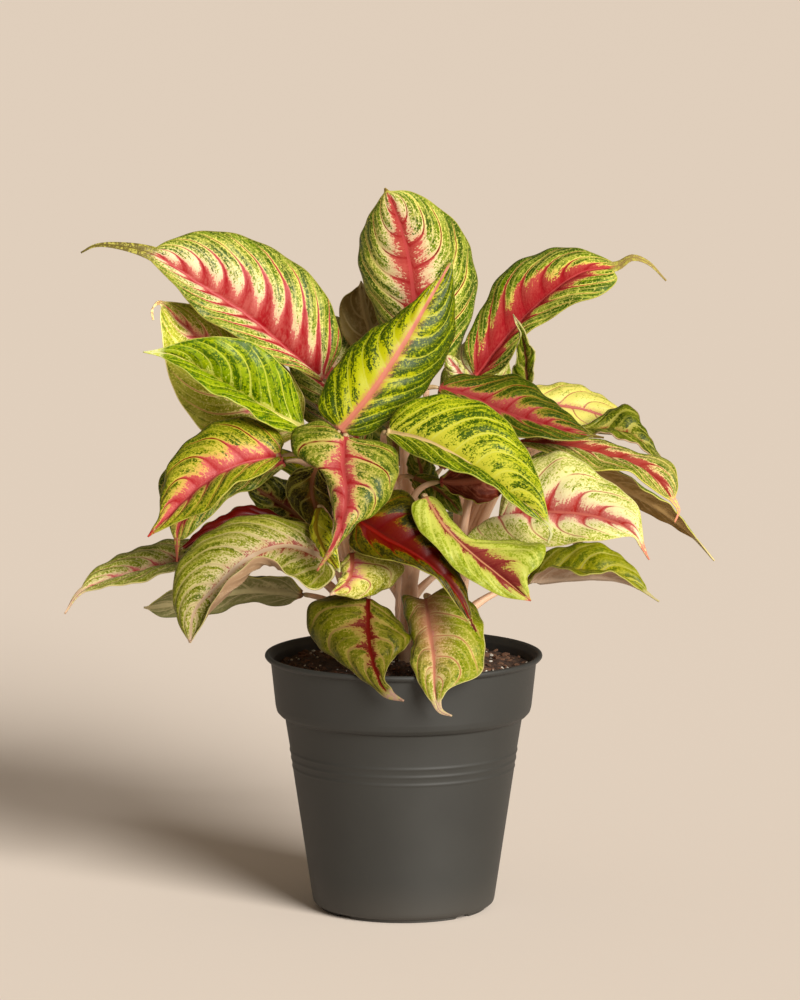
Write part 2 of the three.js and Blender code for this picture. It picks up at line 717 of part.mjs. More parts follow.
    left: [[365, 540, 90], [356, 518, 116], [379, 523, 146]],
    right: [[448, 540, 90], [464, 518, 116], [454, 526, 146]],
  },
  back_low_left: {
    shoot: "back",
    colour: "lime",
    rib: [[352, 556, 74], [305, 522, 96], [258, 521, 114], [208, 549, 128]],
    left: [[326, 544, 58], [272, 518, 72], [222, 525, 98]],
    right: [[349, 538, 98], [306, 515, 126], [249, 529, 136]],
  },
  back_low_right: {
    shoot: "back",
    colour: "cream",
    rib: [[458, 559, 74], [502, 529, 96], [546, 528, 112], [593, 556, 126]],
    left: [[458, 541, 98], [502, 519, 124], [555, 533, 132]],
    right: [[484, 547, 58], [535, 524, 74], [582, 532, 96]],
  },
};

const caneOf = ({ foot, top }) =>
  new THREE.LineCurve3(
    new THREE.Vector3(foot[0], foot[1], POT_HEIGHT - SOIL_DROP - CANE_DEPTH),
    new THREE.Vector3(...top),
  );

// The stalk leaves its cane upwards and turns into the midrib's line under the blade.
function stalkCurve(leaf, cane, rise) {
  const root = cane.getPoint(rise);
  const rib = smoothCurve(leaf.rib.map(seen));
  const heading = rib.getTangentAt(0);
  const end = rib.getPointAt(0).addScaledVector(heading, -FIT_GAP);
  const span = root.distanceTo(end);
  return new THREE.CubicBezierCurve3(
    root,
    root.clone().addScaledVector(cane.getTangent(0), span * (leaf.climb ?? 0.35)),
    end.clone().addScaledVector(heading, -span * (leaf.neck ?? 0.3)),
    end,
  );
}

// The lower a blade starts, the lower its stalk leaves the cane.
function shootSolid(name, shoot) {
  const cane = caneOf(shoot);
  const leaves = Object.values(LEAVES)
    .filter((leaf) => leaf.shoot === name)
    .sort((one, other) => seen(one.rib[0]).z - seen(other.rib[0]).z);
  const stalks = leaves.map((leaf, k) => {
    const rise = THREE.MathUtils.lerp(...STALK_SPREAD, (k + 0.5) / leaves.length);
    const curve = stalkCurve(leaf, cane, rise);
    return stem(curve, STALK_BASE_RADIUS, STALK_RADIUS, STALK_SIDES, STALK_STEPS);
  });
  return wasm.Manifold.union([stem(cane, CANE_RADIUS, CANE_TIP_RADIUS, CANE_SIDES, 4), ...stalks]);
}

// ---- soil ---------------------------------------------------------------------------------------
const SOIL_TOP = POT_HEIGHT - SOIL_DROP;
const SOIL_FLOOR = FLOOR_TOP + FIT_GAP;
const soilEdge = (radius) => radius - WALL - FIT_GAP - 0.5;

const soilProfile = [
  [0, SOIL_FLOOR],
  [51.6, SOIL_FLOOR],
  [soilEdge(CORNER_RADIUS), CORNER_TOP + 1.4],
  [soilEdge(bodyRadius(BAND_FOOT)), BAND_FOOT + 0.4],
  [soilEdge(BAND_RADIUS), BAND_START + 0.2],
  [soilEdge(BAND_TOP_RADIUS), SOIL_TOP - 0.6],
  [70, SOIL_TOP + 0.4],
  [54, SOIL_TOP + 0.5 * SOIL_HEAP],
  [36, SOIL_TOP + 0.8 * SOIL_HEAP],
  [18, SOIL_TOP + 0.95 * SOIL_HEAP],
  [0, SOIL_TOP + SOIL_HEAP],
];

const lumps = (x, y) =>
  LUMP_HEIGHT * (Math.sin(0.21 * x + 1) * Math.sin(0.17 * y) + 0.6 * Math.sin(0.4 * x - 0.33 * y));

// The surface is lumpy away from the wall; each cane stands in a plain hole.
function soilSolid() {
  const bed = turned(soilProfile, SOIL_SIDES);
  const place = bed.attributes.position;
  for (let i = 0; i < place.count; i++) {
    const [x, y, z] = [place.getX(i), place.getY(i), place.getZ(i)];
    if (z > SOIL_TOP && Math.hypot(x, y) < 72) place.setZ(i, z + lumps(x, y));
  }
  return solidFrom(bed).subtract(wasm.Manifold.union(Object.values(SHOOTS).map(caneHole)));
}

// The hole runs along the cane, from just under its foot to clear of the surface.
function caneHole(shoot) {
  const cane = caneOf(shoot);
  const length = cane.getLength();
  const bottom = cane.getPoint(-FIT_GAP / length);
  const mouth = cane.getPoint((CANE_DEPTH + 16) / length);
  const radius = CANE_RADIUS + FIT_GAP;
  return stem(new THREE.LineCurve3(bottom, mouth), radius, radius - FIT_GAP / 2, CANE_SIDES, 1);
}

// ---- the object ---------------------------------------------------------------------------------
const plant = new THREE.Group();

function addPiece(name, geometry, colour) {
  const mesh = new THREE.Mesh(geometry, new THREE.MeshStandardMaterial(COLOURS[colour]));
  mesh.name = name;
  plant.add(mesh);
}

addPiece("pot", geometryFrom(potSolid()), "pot");
addPiece("soil", geometryFrom(soilSolid()), "soil");
for (const [name, shoot] of Object.entries(SHOOTS)) {
  addPiece(`shoot_${name}`, geometryFrom(shootSolid(name, shoot)), "stalk");
}
for (const [name, leaf] of Object.entries(LEAVES)) {
  addPiece(`leaf_${name}`, bladeGeometry(leaf), leaf.colour);
}

export default plant;
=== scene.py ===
"""A potted Chinese evergreen: red, cream and green variegated leaves on pale pink stalks, standing in
the soil of a dark grey nursery pot. Metres, +Z up, and the front towards -Y."""
import math
import random

import bmesh
import bpy
import numpy as np
from bpy.props import FloatProperty, FloatVectorProperty, IntProperty, PointerProperty
from bpy.types import Operator, Panel, PropertyGroup
from mathutils import Matrix, Vector, noise


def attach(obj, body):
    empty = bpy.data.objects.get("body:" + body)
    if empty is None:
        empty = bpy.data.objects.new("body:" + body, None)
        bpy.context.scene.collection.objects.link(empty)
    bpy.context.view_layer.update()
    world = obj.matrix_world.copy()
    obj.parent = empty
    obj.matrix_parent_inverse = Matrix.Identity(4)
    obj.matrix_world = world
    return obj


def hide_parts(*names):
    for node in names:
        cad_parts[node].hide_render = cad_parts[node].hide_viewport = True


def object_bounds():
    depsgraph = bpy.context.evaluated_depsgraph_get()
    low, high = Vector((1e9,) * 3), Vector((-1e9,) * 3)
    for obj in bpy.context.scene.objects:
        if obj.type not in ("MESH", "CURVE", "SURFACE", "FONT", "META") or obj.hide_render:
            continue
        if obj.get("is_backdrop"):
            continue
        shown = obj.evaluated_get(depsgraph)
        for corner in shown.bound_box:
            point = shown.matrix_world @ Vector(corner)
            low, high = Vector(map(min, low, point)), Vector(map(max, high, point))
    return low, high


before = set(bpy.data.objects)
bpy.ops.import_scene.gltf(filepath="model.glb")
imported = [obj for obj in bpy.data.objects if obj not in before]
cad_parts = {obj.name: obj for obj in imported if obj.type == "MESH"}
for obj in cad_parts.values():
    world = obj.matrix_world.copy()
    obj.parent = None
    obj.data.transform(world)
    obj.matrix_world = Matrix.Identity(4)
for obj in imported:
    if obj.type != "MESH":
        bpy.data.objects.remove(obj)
CAD_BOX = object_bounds()

bl_info = {
    "name": "Potted Chinese Evergreen",
    "version": (1, 0, 0),
    "blender": (4, 5, 0),
    "location": "3D Viewport > Sidebar > Evergreen",
    "description": "Builds a variegated Chinese evergreen in a nursery pot, with its stage and light",
    "category": "Add Mesh",
}

MM = 0.001  # the shapes below are worked out in millimetres

# ---- the front view ---------------------------------------------------------------------------
# Leaf points are given as the front view shows them: pixels across and down its picture, and how
# far the point lies behind the pot's axis in millimetres.
PICTURE_WIDTH, PICTURE_HEIGHT = 800, 1000
FOCAL_PIXELS = 5308
SENSOR = 36.0  # of the camera, along the picture's longer side
VIEW_FROM = np.array([0.0, -3200.0, 712.0])
VIEW_TO = np.array([-2.2, 0.0, 252.0])


def unit(vector):
    return vector / np.linalg.norm(vector, axis=-1, keepdims=True)


VIEW_BACK = unit(VIEW_FROM - VIEW_TO)
VIEW_RIGHT = unit(np.cross([0.0, 0.0, 1.0], VIEW_BACK))
VIEW_UP = np.cross(VIEW_BACK, VIEW_RIGHT)


def seen(point):
    """The place of a point that is given by pixels across and down, and depth."""
    across, down, depth = point
    right = (across - PICTURE_WIDTH / 2) * VIEW_RIGHT
    up = (PICTURE_HEIGHT / 2 - down) * VIEW_UP
    ray = right + up - FOCAL_PIXELS * VIEW_BACK
    return VIEW_FROM + ray * (depth - VIEW_FROM[1]) / ray[1]


# ---- driving dimensions of the shapes, in millimetres ----------------------------------------------
RIM_RADIUS = 85
POT_HEIGHT = 158
BAND_FOOT = 120
CORNER_RADIUS = 56
CORNER_TOP = 6
FOOT_RADIUS = 51
FOOT_RISE = 2
FLOOR_TOP = 3.7
WALL = 1.7
BODY_SLOPE = 0.1477
RING_HEIGHTS = (87, 92, 97)
BAND_RADIUS = 78.4
BAND_TOP_RADIUS = 81.3
BAND_START = BAND_FOOT + 6
LIP_FOOT = 153.6
NOTCH_COUNT, NOTCH_WIDTH = 4, 10

SOIL_TOP = 149
SOIL_HEAP = 3
CANE_DEPTH = 45

CANE_RADIUS, CANE_TIP_RADIUS = 6.6, 4.8
STALK_SPREAD = (0.6, 0.97)  # the stretch of a cane that carries stalks, as shares of it
CLIMB, NECK = 0.35, 0.3  # where a leaf doesn't give its own
FIT_GAP = 0.3

NECK_HALF_WIDTH = 2.8
DRIP_SHARE = 0.1  # of a leaf's length that is its thread-like tip
DRIP_HALF_WIDTH = 1.9
TIP_HALF_WIDTH = 0.4
TIP_TAPER = 1.3  # above 1, the drip tip narrows first and then runs on thinly
BULGE = 0.13  # how high each half of a blade arches, as a share of its width
WAVES, WAVE_HEIGHT = 2.6, 1.5  # of the margin along a blade
WAVE_SHIFT = 0.37  # of the right margin's waves against the left's, in waves
VEIN_PITCH = 15  # between the side veins, along the midrib
VEIN_LEAN, VEIN_SWEEP = 0.1, 0.26  # how far a side vein runs ahead on its way to the margin

# Each cane stands in the soil at its foot and leans to its top.
SHOOTS = {
    "front_left": {"foot": (-20, -22), "top": (-25, -27, 200)},
    "front_right": {"foot": (26, -24), "top": (31, -29, 195)},
    "left": {"foot": (-28, 16), "top": (-36, 20, 210)},
    "right": {"foot": (28, 20), "top": (36, 24, 215)},
    "center": {"foot": (2, 2), "top": (4, 4, 228)},
    "back": {"foot": (0, 42), "top": (0, 52, 205)},
}


def leaf(shoot, colour, **shape):
    return {"shoot": shoot, "colour": colour, **shape}


def behind(*places):
    """Places in millimetres that the front hides, as seen takes them, to the whole pixel."""
    points = []
    for place in places:
        ray = np.array(place) - VIEW_FROM
        scale = -FOCAL_PIXELS / np.dot(ray, VIEW_BACK)
        across = PICTURE_WIDTH / 2 + scale * np.dot(ray, VIEW_RIGHT)
        down = PICTURE_HEIGHT / 2 - scale * np.dot(ray, VIEW_UP)
        points.append((round(across), round(down), place[1]))
    return points


# rib: the midrib from the stalk to the tip. left and right: the margins from the stalk to where the
# drip tip starts. bulge: the arch of the two halves. climb and neck: the stretches over which the
# stalk keeps the direction of its cane and of the midrib, as shares of its span.
LEAVES = {
    "upper_left": leaf(
        "left", "crimson", drip=0.26, flare=4.8,
        rib=[(323, 379, 10), (288, 351, 6), (252, 320, 2), (200, 285, -2), (154, 255, -5),
            (118, 246, -6), (95, 246, -7), (81, 253, -8)],
        left=[(292, 368, -5), (240, 341, -20), (200, 313, -20), (174, 286, -12)],
        right=[(341, 345, 13), (320, 287, 16), (268, 246, 16), (208, 231, 9), (170, 240, 0)],
    ),
    "top": leaf(
        "center", "crimson", drip=0.03,
        rib=[(424, 358, 24), (415, 304, 20), (408, 255, 16), (397, 216, 10), (385, 188, 2)],
        left=[(388, 338, 30), (368, 293, 33), (358, 250, 31), (366, 222, 20), (379, 200, 8)],
        right=[(450, 362, 28), (471, 315, 38), (476, 272, 40), (460, 228, 28), (412, 192, 9)],
    ),
    "front_high": leaf(
        "front_left", "lime", drip=0.03,
        rib=[(340, 430, -45), (371, 393, -42), (400, 350, -36), (428, 302, -26), (453, 258, -15)],
        left=[(319, 410, -41), (331, 372, -33), (362, 338, -25), (398, 313, -22), (430, 287, -20)],
        right=[(362, 436, -42), (400, 413, -34), (438, 374, -22), (453, 335, -17), (454, 290, -17)],
    ),
    "upper_right": leaf(
        "right", "crimson", drip=0.26, flare=3.6,
        rib=[(477, 377, 20), (505, 340, 18), (541, 302, 14), (581, 273, 10), (618, 266, 8),
            (632, 258, 6), (648, 263, 4), (666, 281, 2)],
        left=[(465, 350, 23), (479, 312, 34), (508, 270, 38), (552, 248, 31), (592, 253, 17)],
        right=[(500, 371, 10), (530, 333, 4), (565, 309, -4), (600, 296, -6), (617, 280, 2)],
    ),
    "left_bright": leaf(
        "front_left", "lime", flare=3.2,
        rib=[(302, 428, -25), (262, 407, -30), (215, 379, -34), (175, 356, -38), (143, 352, -40)],
        left=[(288, 433, -36), (255, 416, -52), (215, 393, -56), (180, 369, -47)],
        right=[(301, 408, -23), (290, 376, -28), (260, 347, -36), (220, 336, -39), (185, 341, -39)],
    ),
    "left_back": leaf(
        "left", "cream", drip=0.12,
        rib=[(300, 432, 10), (255, 400, 11), (215, 352, 10), (180, 322, 7), (159, 303, 3),
            (152, 309, -1), (153, 320, -4)],
        left=[(262, 452, 8), (214, 440, 7), (179, 400, 4), (163, 350, -9), (160, 318, -6)],
        right=[(303, 395, 16), (268, 350, 23), (225, 318, 21), (188, 304, 10)],
    ),
    "young": leaf(
        "right", "forest",
        rib=[(527, 387, 6), (526, 360, -4), (522, 335, -16), (513, 314, -20)],
        left=[(513, 374, -2), (517, 350, -12), (519, 332, -19)],
        right=[(534, 374, -2), (535, 356, -9), (528, 337, -18)],
    ),
    "left_red": leaf(
        "front_left", "crimson", drip=0.05, neck=0.55, climb=0.2,
        rib=[(280, 456, -40), (240, 466, -50), (200, 488, -58), (167, 518, -64), (148, 537, -67)],
        left=[(270, 470, -55), (240, 483, -75), (216, 504, -79), (183, 521, -71)],
        right=[(284, 440, -36), (258, 420, -31), (215, 423, -32), (176, 453, -42), (162, 492, -52),
            (158, 519, -62)],
    ),
    "left_red_low": leaf(
        "left", "crimson", drip=0.14,
        rib=[(284, 462, -8), (235, 478, -16), (200, 500, -23), (180, 525, -27), (177, 562, -30)],
        left=[(272, 477, -14), (255, 488, -22), (228, 500, -27), (200, 526, -30), (186, 538, -30)],
        right=[(268, 440, -5), (220, 438, -6), (172, 462, -11), (159, 486, -17), (168, 522, -25)],
    ),
    "left_strip": leaf(
        "left", "crimson", drip=0.05,
        rib=[(282, 522, -12), (245, 518, -18), (210, 532, -22), (176, 553, -22)],
        left=[(262, 534, -21), (228, 540, -29), (198, 550, -31)],
        right=[(268, 509, -10), (238, 508, -12), (203, 528, -18)],
    ),
    "left_dark": leaf(
        "left", "forest", drip=0.05,
        rib=[(312, 524, 6), (288, 509, 7), (262, 492, 8), (243, 480, 9)],
        left=[(290, 530, 6), (268, 518, 6), (252, 500, 7)],
        right=[(314, 504, 10), (295, 484, 11), (265, 476, 11)],
    ),
    "left_low_big": leaf(
        "front_left", "cream", drip=0.02, bulge=[-0.36, 0.14],
        rib=[(327, 557, -50), (285, 546, -62), (248, 558, -74), (218, 585, -84), (194, 612, -90),
            (190, 643, -92)],
        left=[(334, 574, -56), (318, 590, -54), (292, 576, -66), (262, 558, -88), (230, 576, -102),
            (206, 618, -98)],
        right=[(318, 530, -46), (283, 518, -42), (235, 519, -50), (196, 540, -60), (174, 580, -74),
            (177, 620, -86)],
    ),
    "left_low_light": leaf(
        "left", "cream", drip=0.16, flare=2.8,
        rib=[(240, 556, 15), (190, 563, 8), (145, 572, 2), (105, 582, -4), (80, 593, -8),
            (65, 614, -10)],
        left=[(220, 567, -2), (170, 574, -19), (118, 586, -18)],
        right=[(225, 545, 23), (185, 541, 28), (150, 543, 27), (115, 559, 14), (91, 572, 1)],
    ),
    "left_lowest": leaf(
        "left", "forest", drip=0.03,
        rib=[(302, 594, 0), (250, 590, -6), (200, 600, -12), (165, 606, -18), (144, 608, -22)],
        left=[(288, 578, -12), (245, 577, -26), (195, 583, -32), (160, 598, -27)],
        right=[(285, 605, 8), (250, 604, 12), (205, 614, 6), (162, 617, -13)],
    ),
    "center_droop": leaf(
        "front_left", "crimson", drip=0.14, neck=0.1,
        rib=[(345, 437, -60), (343, 465, -72), (346, 500, -84), (336, 540, -93), (317, 571, -98)],
        left=[(370, 441, -57), (394, 447, -57), (398, 473, -70), (382, 508, -80), (356, 525, -87)],
        right=[(322, 421, -56), (295, 430, -52), (293, 452, -60), (318, 466, -62), (333, 495, -70),
            (336, 525, -85)],
    ),
    "right_yellow": leaf(
        "center", "lime", neck=0.1,
        rib=[(388, 432, -50), (425, 441, -60), (465, 462, -70), (505, 491, -80), (540, 517, -89),
            (551, 532, -92), (547, 543, -93)],
        left=[(391, 419, -46), (401, 407, -46), (440, 394, -46), (490, 408, -51), (524, 445, -64),
            (543, 492, -82)],
        right=[(404, 449, -65), (435, 466, -86), (470, 473, -94), (508, 501, -96)],
    ),
    "center_red": leaf(
        "front_left", "crimson", drip=0.08,
        rib=[(357, 518, -60), (385, 538, -67), (420, 558, -75), (452, 588, -83), (476, 632, -92)],
        left=[(368, 500, -56), (402, 490, -50), (434, 526, -58), (455, 562, -68), (468, 600, -82)],
        right=[(350, 545, -64), (374, 559, -75), (410, 564, -84), (438, 583, -87), (460, 610, -89)],
    ),
    "small_center": leaf(
        "front_left", "cream",
        rib=[(352, 553, -55), (352, 568, -60), (348, 581, -64), (330, 595, -67)],
        left=[(385, 556, -50), (404, 566, -50), (392, 585, -54), (360, 598, -62)],
        right=[(342, 562, -52), (341, 578, -59)],
    ),
    "small_strip": leaf(
        "front_left", "lime", drip=0.05, neck=0.08,
        rib=[(319, 508, -56), (316, 528, -62), (325, 550, -66), (340, 572, -68)],
        left=[(332, 520, -62), (334, 540, -68), (339, 556, -69)],
        right=[(312, 522, -56), (313, 540, -59), (327, 560, -64)],
    ),
    "center_dark": leaf(
        "front_left", "forest", drip=0.1,
        rib=[(316, 467, -14), (311, 486, -12), (315, 508, -14), (324, 530, -18), (331, 548, -22)],
        left=[(328, 476, -10), (332, 496, -8), (333, 520, -12)],
        right=[(296, 470, -16), (285, 488, -16), (298, 514, -18)],
    ),
    "lower_yellow": leaf(
        "front_right", "lime", drip=0.03, neck=0.1,
        rib=[(426, 497, -64), (444, 526, -70), (469, 551, -75), (500, 576, -81), (531, 601, -86)],
        left=[(434, 498, -52), (453, 521, -60), (476, 541, -65), (512, 541, -66), (545, 546, -74),
            (542, 562, -80), (528, 576, -84)],
        right=[(412, 504, -67), (419, 530, -75), (441, 553, -83), (472, 582, -88), (505, 597, -87)],
    ),
    "center_small_green": leaf(
        "center", "forest", drip=0.05,
        rib=[(414, 478, -26), (432, 486, -30), (452, 502, -34), (462, 515, -36)],
        left=[(421, 474, -25), (440, 478, -28), (458, 494, -34)],
        right=[(419, 492, -29), (438, 506, -35)],
    ),
    "center_small_tall": leaf(
        "center", "forest", drip=0.08,
        rib=[(424, 500, -12), (422, 475, -15), (414, 444, -19)],
        left=[(411, 482, -13), (407, 461, -17)],
        right=[(438, 485, -11), (432, 461, -15)],
    ),
    "right_dark_red": leaf(
        "center", "crimson", drip=0.08,
        rib=[(440, 388, -8), (470, 397, -14), (502, 412, -22), (540, 424, -30), (575, 434, -35),
            (604, 438, -38)],
        left=[(450, 377, -3), (478, 375, 0), (515, 376, -1), (550, 398, -16), (578, 423, -30)],
        right=[(462, 412, -25), (500, 432, -43), (545, 440, -49), (580, 440, -42)],
    ),
    "right_pale": leaf(
        "right", "cream", drip=0.06,
        rib=[(505, 405, 28), (545, 405, 32), (585, 410, 34), (615, 422, 35), (632, 438, 35)],
        left=[(515, 391, 35), (550, 384, 44), (590, 389, 46), (616, 407, 40)],
        right=[(520, 424, 22), (560, 431, 23), (602, 434, 29)],
    ),
    "right_folded": leaf(
        "right", "forest", drip=0.05,
        rib=[(582, 430, 8), (605, 431, 5), (632, 437, 0), (650, 450, -4), (663, 461, -6)],
        left=[(596, 420, 10), (612, 408, 17), (630, 407, 16), (645, 428, 8), (655, 449, -1)],
        right=[(595, 434, -6), (622, 438, -14), (645, 452, -12)],
    ),
    "right_long": leaf(
        "front_right", "crimson", drip=0.13, flare=2.6,
        rib=[(520, 442, -15), (565, 446, -19), (610, 457, -24), (650, 475, -29), (672, 500, -33),
            (678, 511, -34), (674, 522, -34)],
        left=[(545, 436, -5), (590, 440, 0), (630, 452, -4), (668, 460, -17), (678, 484, -28)],
        right=[(550, 453, -28), (590, 468, -42), (622, 471, -46), (648, 486, -42)],
    ),
    "right_narrow": leaf(
        "right", "forest", drip=0.16,
        rib=[(565, 452, 14), (610, 480, 20), (655, 506, 26), (690, 533, 30), (714, 561, 32)],
        left=[(585, 471, 29), (622, 495, 42), (668, 525, 38)],
        right=[(590, 461, 5), (640, 485, 5), (680, 517, 20)],
    ),
    "right_cream": leaf(
        "front_right", "cream", flare=2.6,
        rib=[(500, 522, -40), (530, 514, -48), (565, 513, -57), (600, 518, -65), (630, 531, -72),
            (649, 560, -76)],
        left=[(502, 497, -38), (518, 468, -36), (560, 452, -40), (600, 475, -52), (637, 506, -65)],
        right=[(479, 529, -47), (466, 537, -50), (492, 541, -54), (550, 546, -71), (600, 541, -82),
            (633, 537, -77)],
    ),
    "right_low": leaf(
        "front_right", "forest", drip=0.12,
        rib=[(528, 583, -8), (560, 579, -12), (600, 578, -16), (627, 583, -18), (659, 602, -20)],
        left=[(545, 552, -3), (575, 545, 2), (604, 545, -2), (629, 563, -10), (645, 585, -16)],
        right=[(545, 569, -26), (580, 573, -36), (615, 575, -29)],
    ),
    "right_underside": leaf(
        "center", "crimson", drip=0.05,
        rib=[(440, 482, -46), (468, 481, -41), (496, 475, -34), (520, 468, -26)],
        left=[(455, 494, -50), (482, 503, -44), (504, 491, -31)],
        right=[(455, 467, -44), (483, 461, -38), (508, 459, -29)],
    ),
    "rim_left": leaf(
        "front_left", "forest", drip=0.14, flare=3.4,
        rib=[(368, 599, -48), (368, 622, -60), (370, 648, -74), (378, 677, -88), (389, 694, -95),
            (404, 701, -97)],
        left=[(395, 616, -49), (410, 640, -59), (392, 660, -78), (385, 680, -90)],
        right=[(335, 594, -42), (309, 608, -43), (312, 638, -54), (345, 666, -75), (376, 690, -91)],
    ),
    "rim_right": leaf(
        "front_right", "cream", drip=0.16, flare=3,
        rib=[(426, 599, -48), (429, 625, -64), (434, 660, -82), (435, 690, -94), (440, 710, -98),
            (452, 716, -100)],
        left=[(446, 588, -44), (476, 607, -48), (484, 640, -68), (480, 674, -86), (448, 690, -97)],
        right=[(402, 596, -38), (411, 632, -52), (411, 662, -76), (424, 692, -94)],
    ),
    "back_brown": leaf(
        "back", "forest", drip=0.05,
        rib=[(388, 375, 52), (374, 340, 57), (364, 305, 60), (361, 281, 60)],
        left=[(398, 352, 58), (390, 318, 64), (377, 292, 64)],
        right=[(362, 362, 59), (342, 330, 64), (340, 303, 64)],
    ),
    # A small pale leaf behind the others: its pale colour is partly painted highlight, standing for a
    # glossy glint there.
    "small_white": leaf(
        "center", "cream", drip=0.05,
        rib=[(470, 388, 14), (459, 371, 14), (447, 356, 14)],
        left=[(456, 382, 16), (445, 369, 16)],
        right=[(468, 373, 16), (457, 359, 16)],
    ),
    "back_high": leaf(
        "back", "lime",
        rib=behind((2, 68, 318), (4, 84, 352), (8, 104, 385), (12, 128, 404)),
        left=behind((-22, 76, 332), (-27, 92, 362), (-10, 114, 392)),
        right=behind((26, 74, 330), (34, 90, 362), (24, 114, 390)),
    ),
    "back_mid_left": leaf(
        "left", "lime",
        rib=behind((-48, 34, 246), (-76, 54, 268), (-104, 72, 272), (-134, 86, 256)),
        left=behind((-58, 22, 256), (-90, 32, 276), (-122, 58, 272)),
        right=behind((-46, 54, 252), (-74, 80, 272), (-108, 92, 268)),
    ),
    "back_mid_right": leaf(
        "right", "crimson",
        rib=behind((48, 34, 250), (78, 52, 272), (106, 70, 274), (134, 84, 256)),
        left=behind((46, 54, 256), (74, 80, 276), (108, 92, 270)),
        right=[(512, 484, 22), (557, 451, 34), (604, 455, 58)],
    ),
    "back_upper_left": leaf(
        "left", "crimson",
        rib=behind((-38, 40, 300), (-50, 62, 330), (-62, 84, 350), (-76, 108, 356)),
        left=behind((-60, 38, 310), (-76, 58, 338), (-80, 84, 354)),
        right=behind((-22, 56, 314), (-28, 80, 340), (-50, 104, 356)),
    ),
    "back_upper_right": leaf(
        "right", "cream",
        rib=[(465, 426, 44), (482, 380, 66), (492, 350, 88), (500, 340, 112)],
        left=[(439, 400, 58), (449, 360, 82), (474, 338, 108)],
        right=[(498, 410, 42), (510, 376, 62), (506, 350, 88)],
    ),
    "back_left": leaf(
        "back", "crimson",
        rib=behind((-26, 72, 268), (-56, 98, 296), (-82, 122, 308), (-108, 142, 300)),
        left=behind((-52, 62, 286), (-84, 84, 312), (-108, 114, 314)),
        right=behind((-20, 92, 284), (-46, 124, 306), (-82, 144, 302)),
    ),
    "back_right": leaf(
        "back", "cream",
        rib=behind((24, 72, 262), (52, 98, 282), (76, 122, 286), (100, 142, 276)),
        left=behind((18, 92, 276), (44, 124, 290), (78, 144, 280)),
        right=behind((48, 64, 278), (80, 88, 294), (100, 116, 290)),
    ),
    "back_mid": leaf(
        "back", "forest",
        rib=behind((-4, 82, 262), (-8, 112, 282), (-12, 140, 284), (-18, 168, 268)),
        left=behind((-28, 84, 276), (-42, 112, 290), (-38, 144, 282)),
        right=behind((20, 86, 276), (28, 114, 290), (16, 146, 280)),
    ),
    "back_low": leaf(
        "back", "crimson",
        rib=behind((2, 84, 206), (6, 112, 222), (10, 138, 220), (14, 166, 200)),
        left=behind((-24, 90, 214), (-30, 116, 224), (-16, 146, 216)),
        right=behind((28, 90, 214), (38, 116, 224), (32, 146, 214)),
    ),
    "back_low_left": leaf(
        "back", "lime",
        rib=behind((-32, 74, 206), (-62, 96, 224), (-92, 114, 222), (-124, 128, 202)),
        left=behind((-48, 58, 216), (-82, 72, 230), (-114, 98, 222)),
        right=behind((-34, 98, 214), (-62, 126, 224), (-98, 136, 214)),
    ),
    "back_low_right": leaf(
        "back", "cream",
        rib=behind((34, 74, 204), (62, 96, 220), (90, 112, 218), (120, 126, 198)),
        left=behind((34, 98, 212), (62, 124, 222), (96, 132, 212)),
        right=behind((50, 58, 214), (82, 74, 226), (112, 96, 218)),
    ),
}


# ---- colours and finishes ---------------------------------------------------------------------------
def linear(hexadecimal):
    """A colour written as on a screen, as the shaders want it."""
    channels = [int(hexadecimal[k : k + 2], 16) / 255 for k in (0, 2, 4)]
    return tuple(c / 12.92 if c <= 0.04045 else ((c + 0.055) / 1.055) ** 2.4 for c in channels)


# How the stage's light changes a leaf's red, green and blue: it brightens them, and gloss adds some.
LIGHT_GAIN = (1.62, 1.52, 1.4)
GLOSS = (0.01, 0.011, 0.012)


def surface(shown):
    """The surface colour of a leaf that shows as the given colour in the stage's light."""
    channels = zip(linear(shown), GLOSS, LIGHT_GAIN)
    return tuple(max(channel - gloss, 0) / gain for channel, gloss, gain in channels)


LEAF_COLOURS = {
    "rib": "Midrib",
    "flush": "Flush beside the midrib",
    "flush_light": "Light side of the flush",
    "pale": "Pale ground near the midrib",
    "pale_outer": "Pale ground near the margin",
    "green": "Green",
    "green_dark": "Dark green",
    "vein": "Side veins",
    "edge": "Margin",
    "tip": "Drip tip",
    "under": "Underside",
    "under_light": "Light patches of the underside",
}

LEAF_NUMBERS = {
    "rib_width": "Half width of the midrib's colour near the stalk, in millimetres",
    "flush_reach": "How far the flush reaches, as a share of the half blade",
    "flush_taper": "How much of that reach is lost towards the tip",
    "flame": "How deeply the flush is cut between the veins",
    "green_bias": "How much of the blade is green near the midrib",
    "green_slope": "How much greener it gets towards the margin",
    "speckle": "Strength of the small speckles",
    "streak": "Strength of the streaks along the veins",
    "vein_strength": "Strength of the side veins' lines",
    "deep": "How much of the green is dark",
    "haze": "How far the midrib's colour spreads near the stalk, in millimetres",
    # On right_yellow this greener half is painted shade on a half that hangs in shadow.
    "side_green": "How much greener the right half is than the left",
    # Partly each leaf's own lightness, partly painted light and shade: it lifts some leaves that lie in
    # shade and darkens some that lie deep in the plant.
    "lightness": "Lightness of all the blade's colours",
}

def kind_look(**own):
    """The colours, as they show, and numbers of a kind of leaf; numbers not given are plain."""
    plain = {"flame": 0.5, "deep": 0.0, "haze": 0.0, "side_green": 0.0, "lightness": 1.0}
    return {**plain, **own}


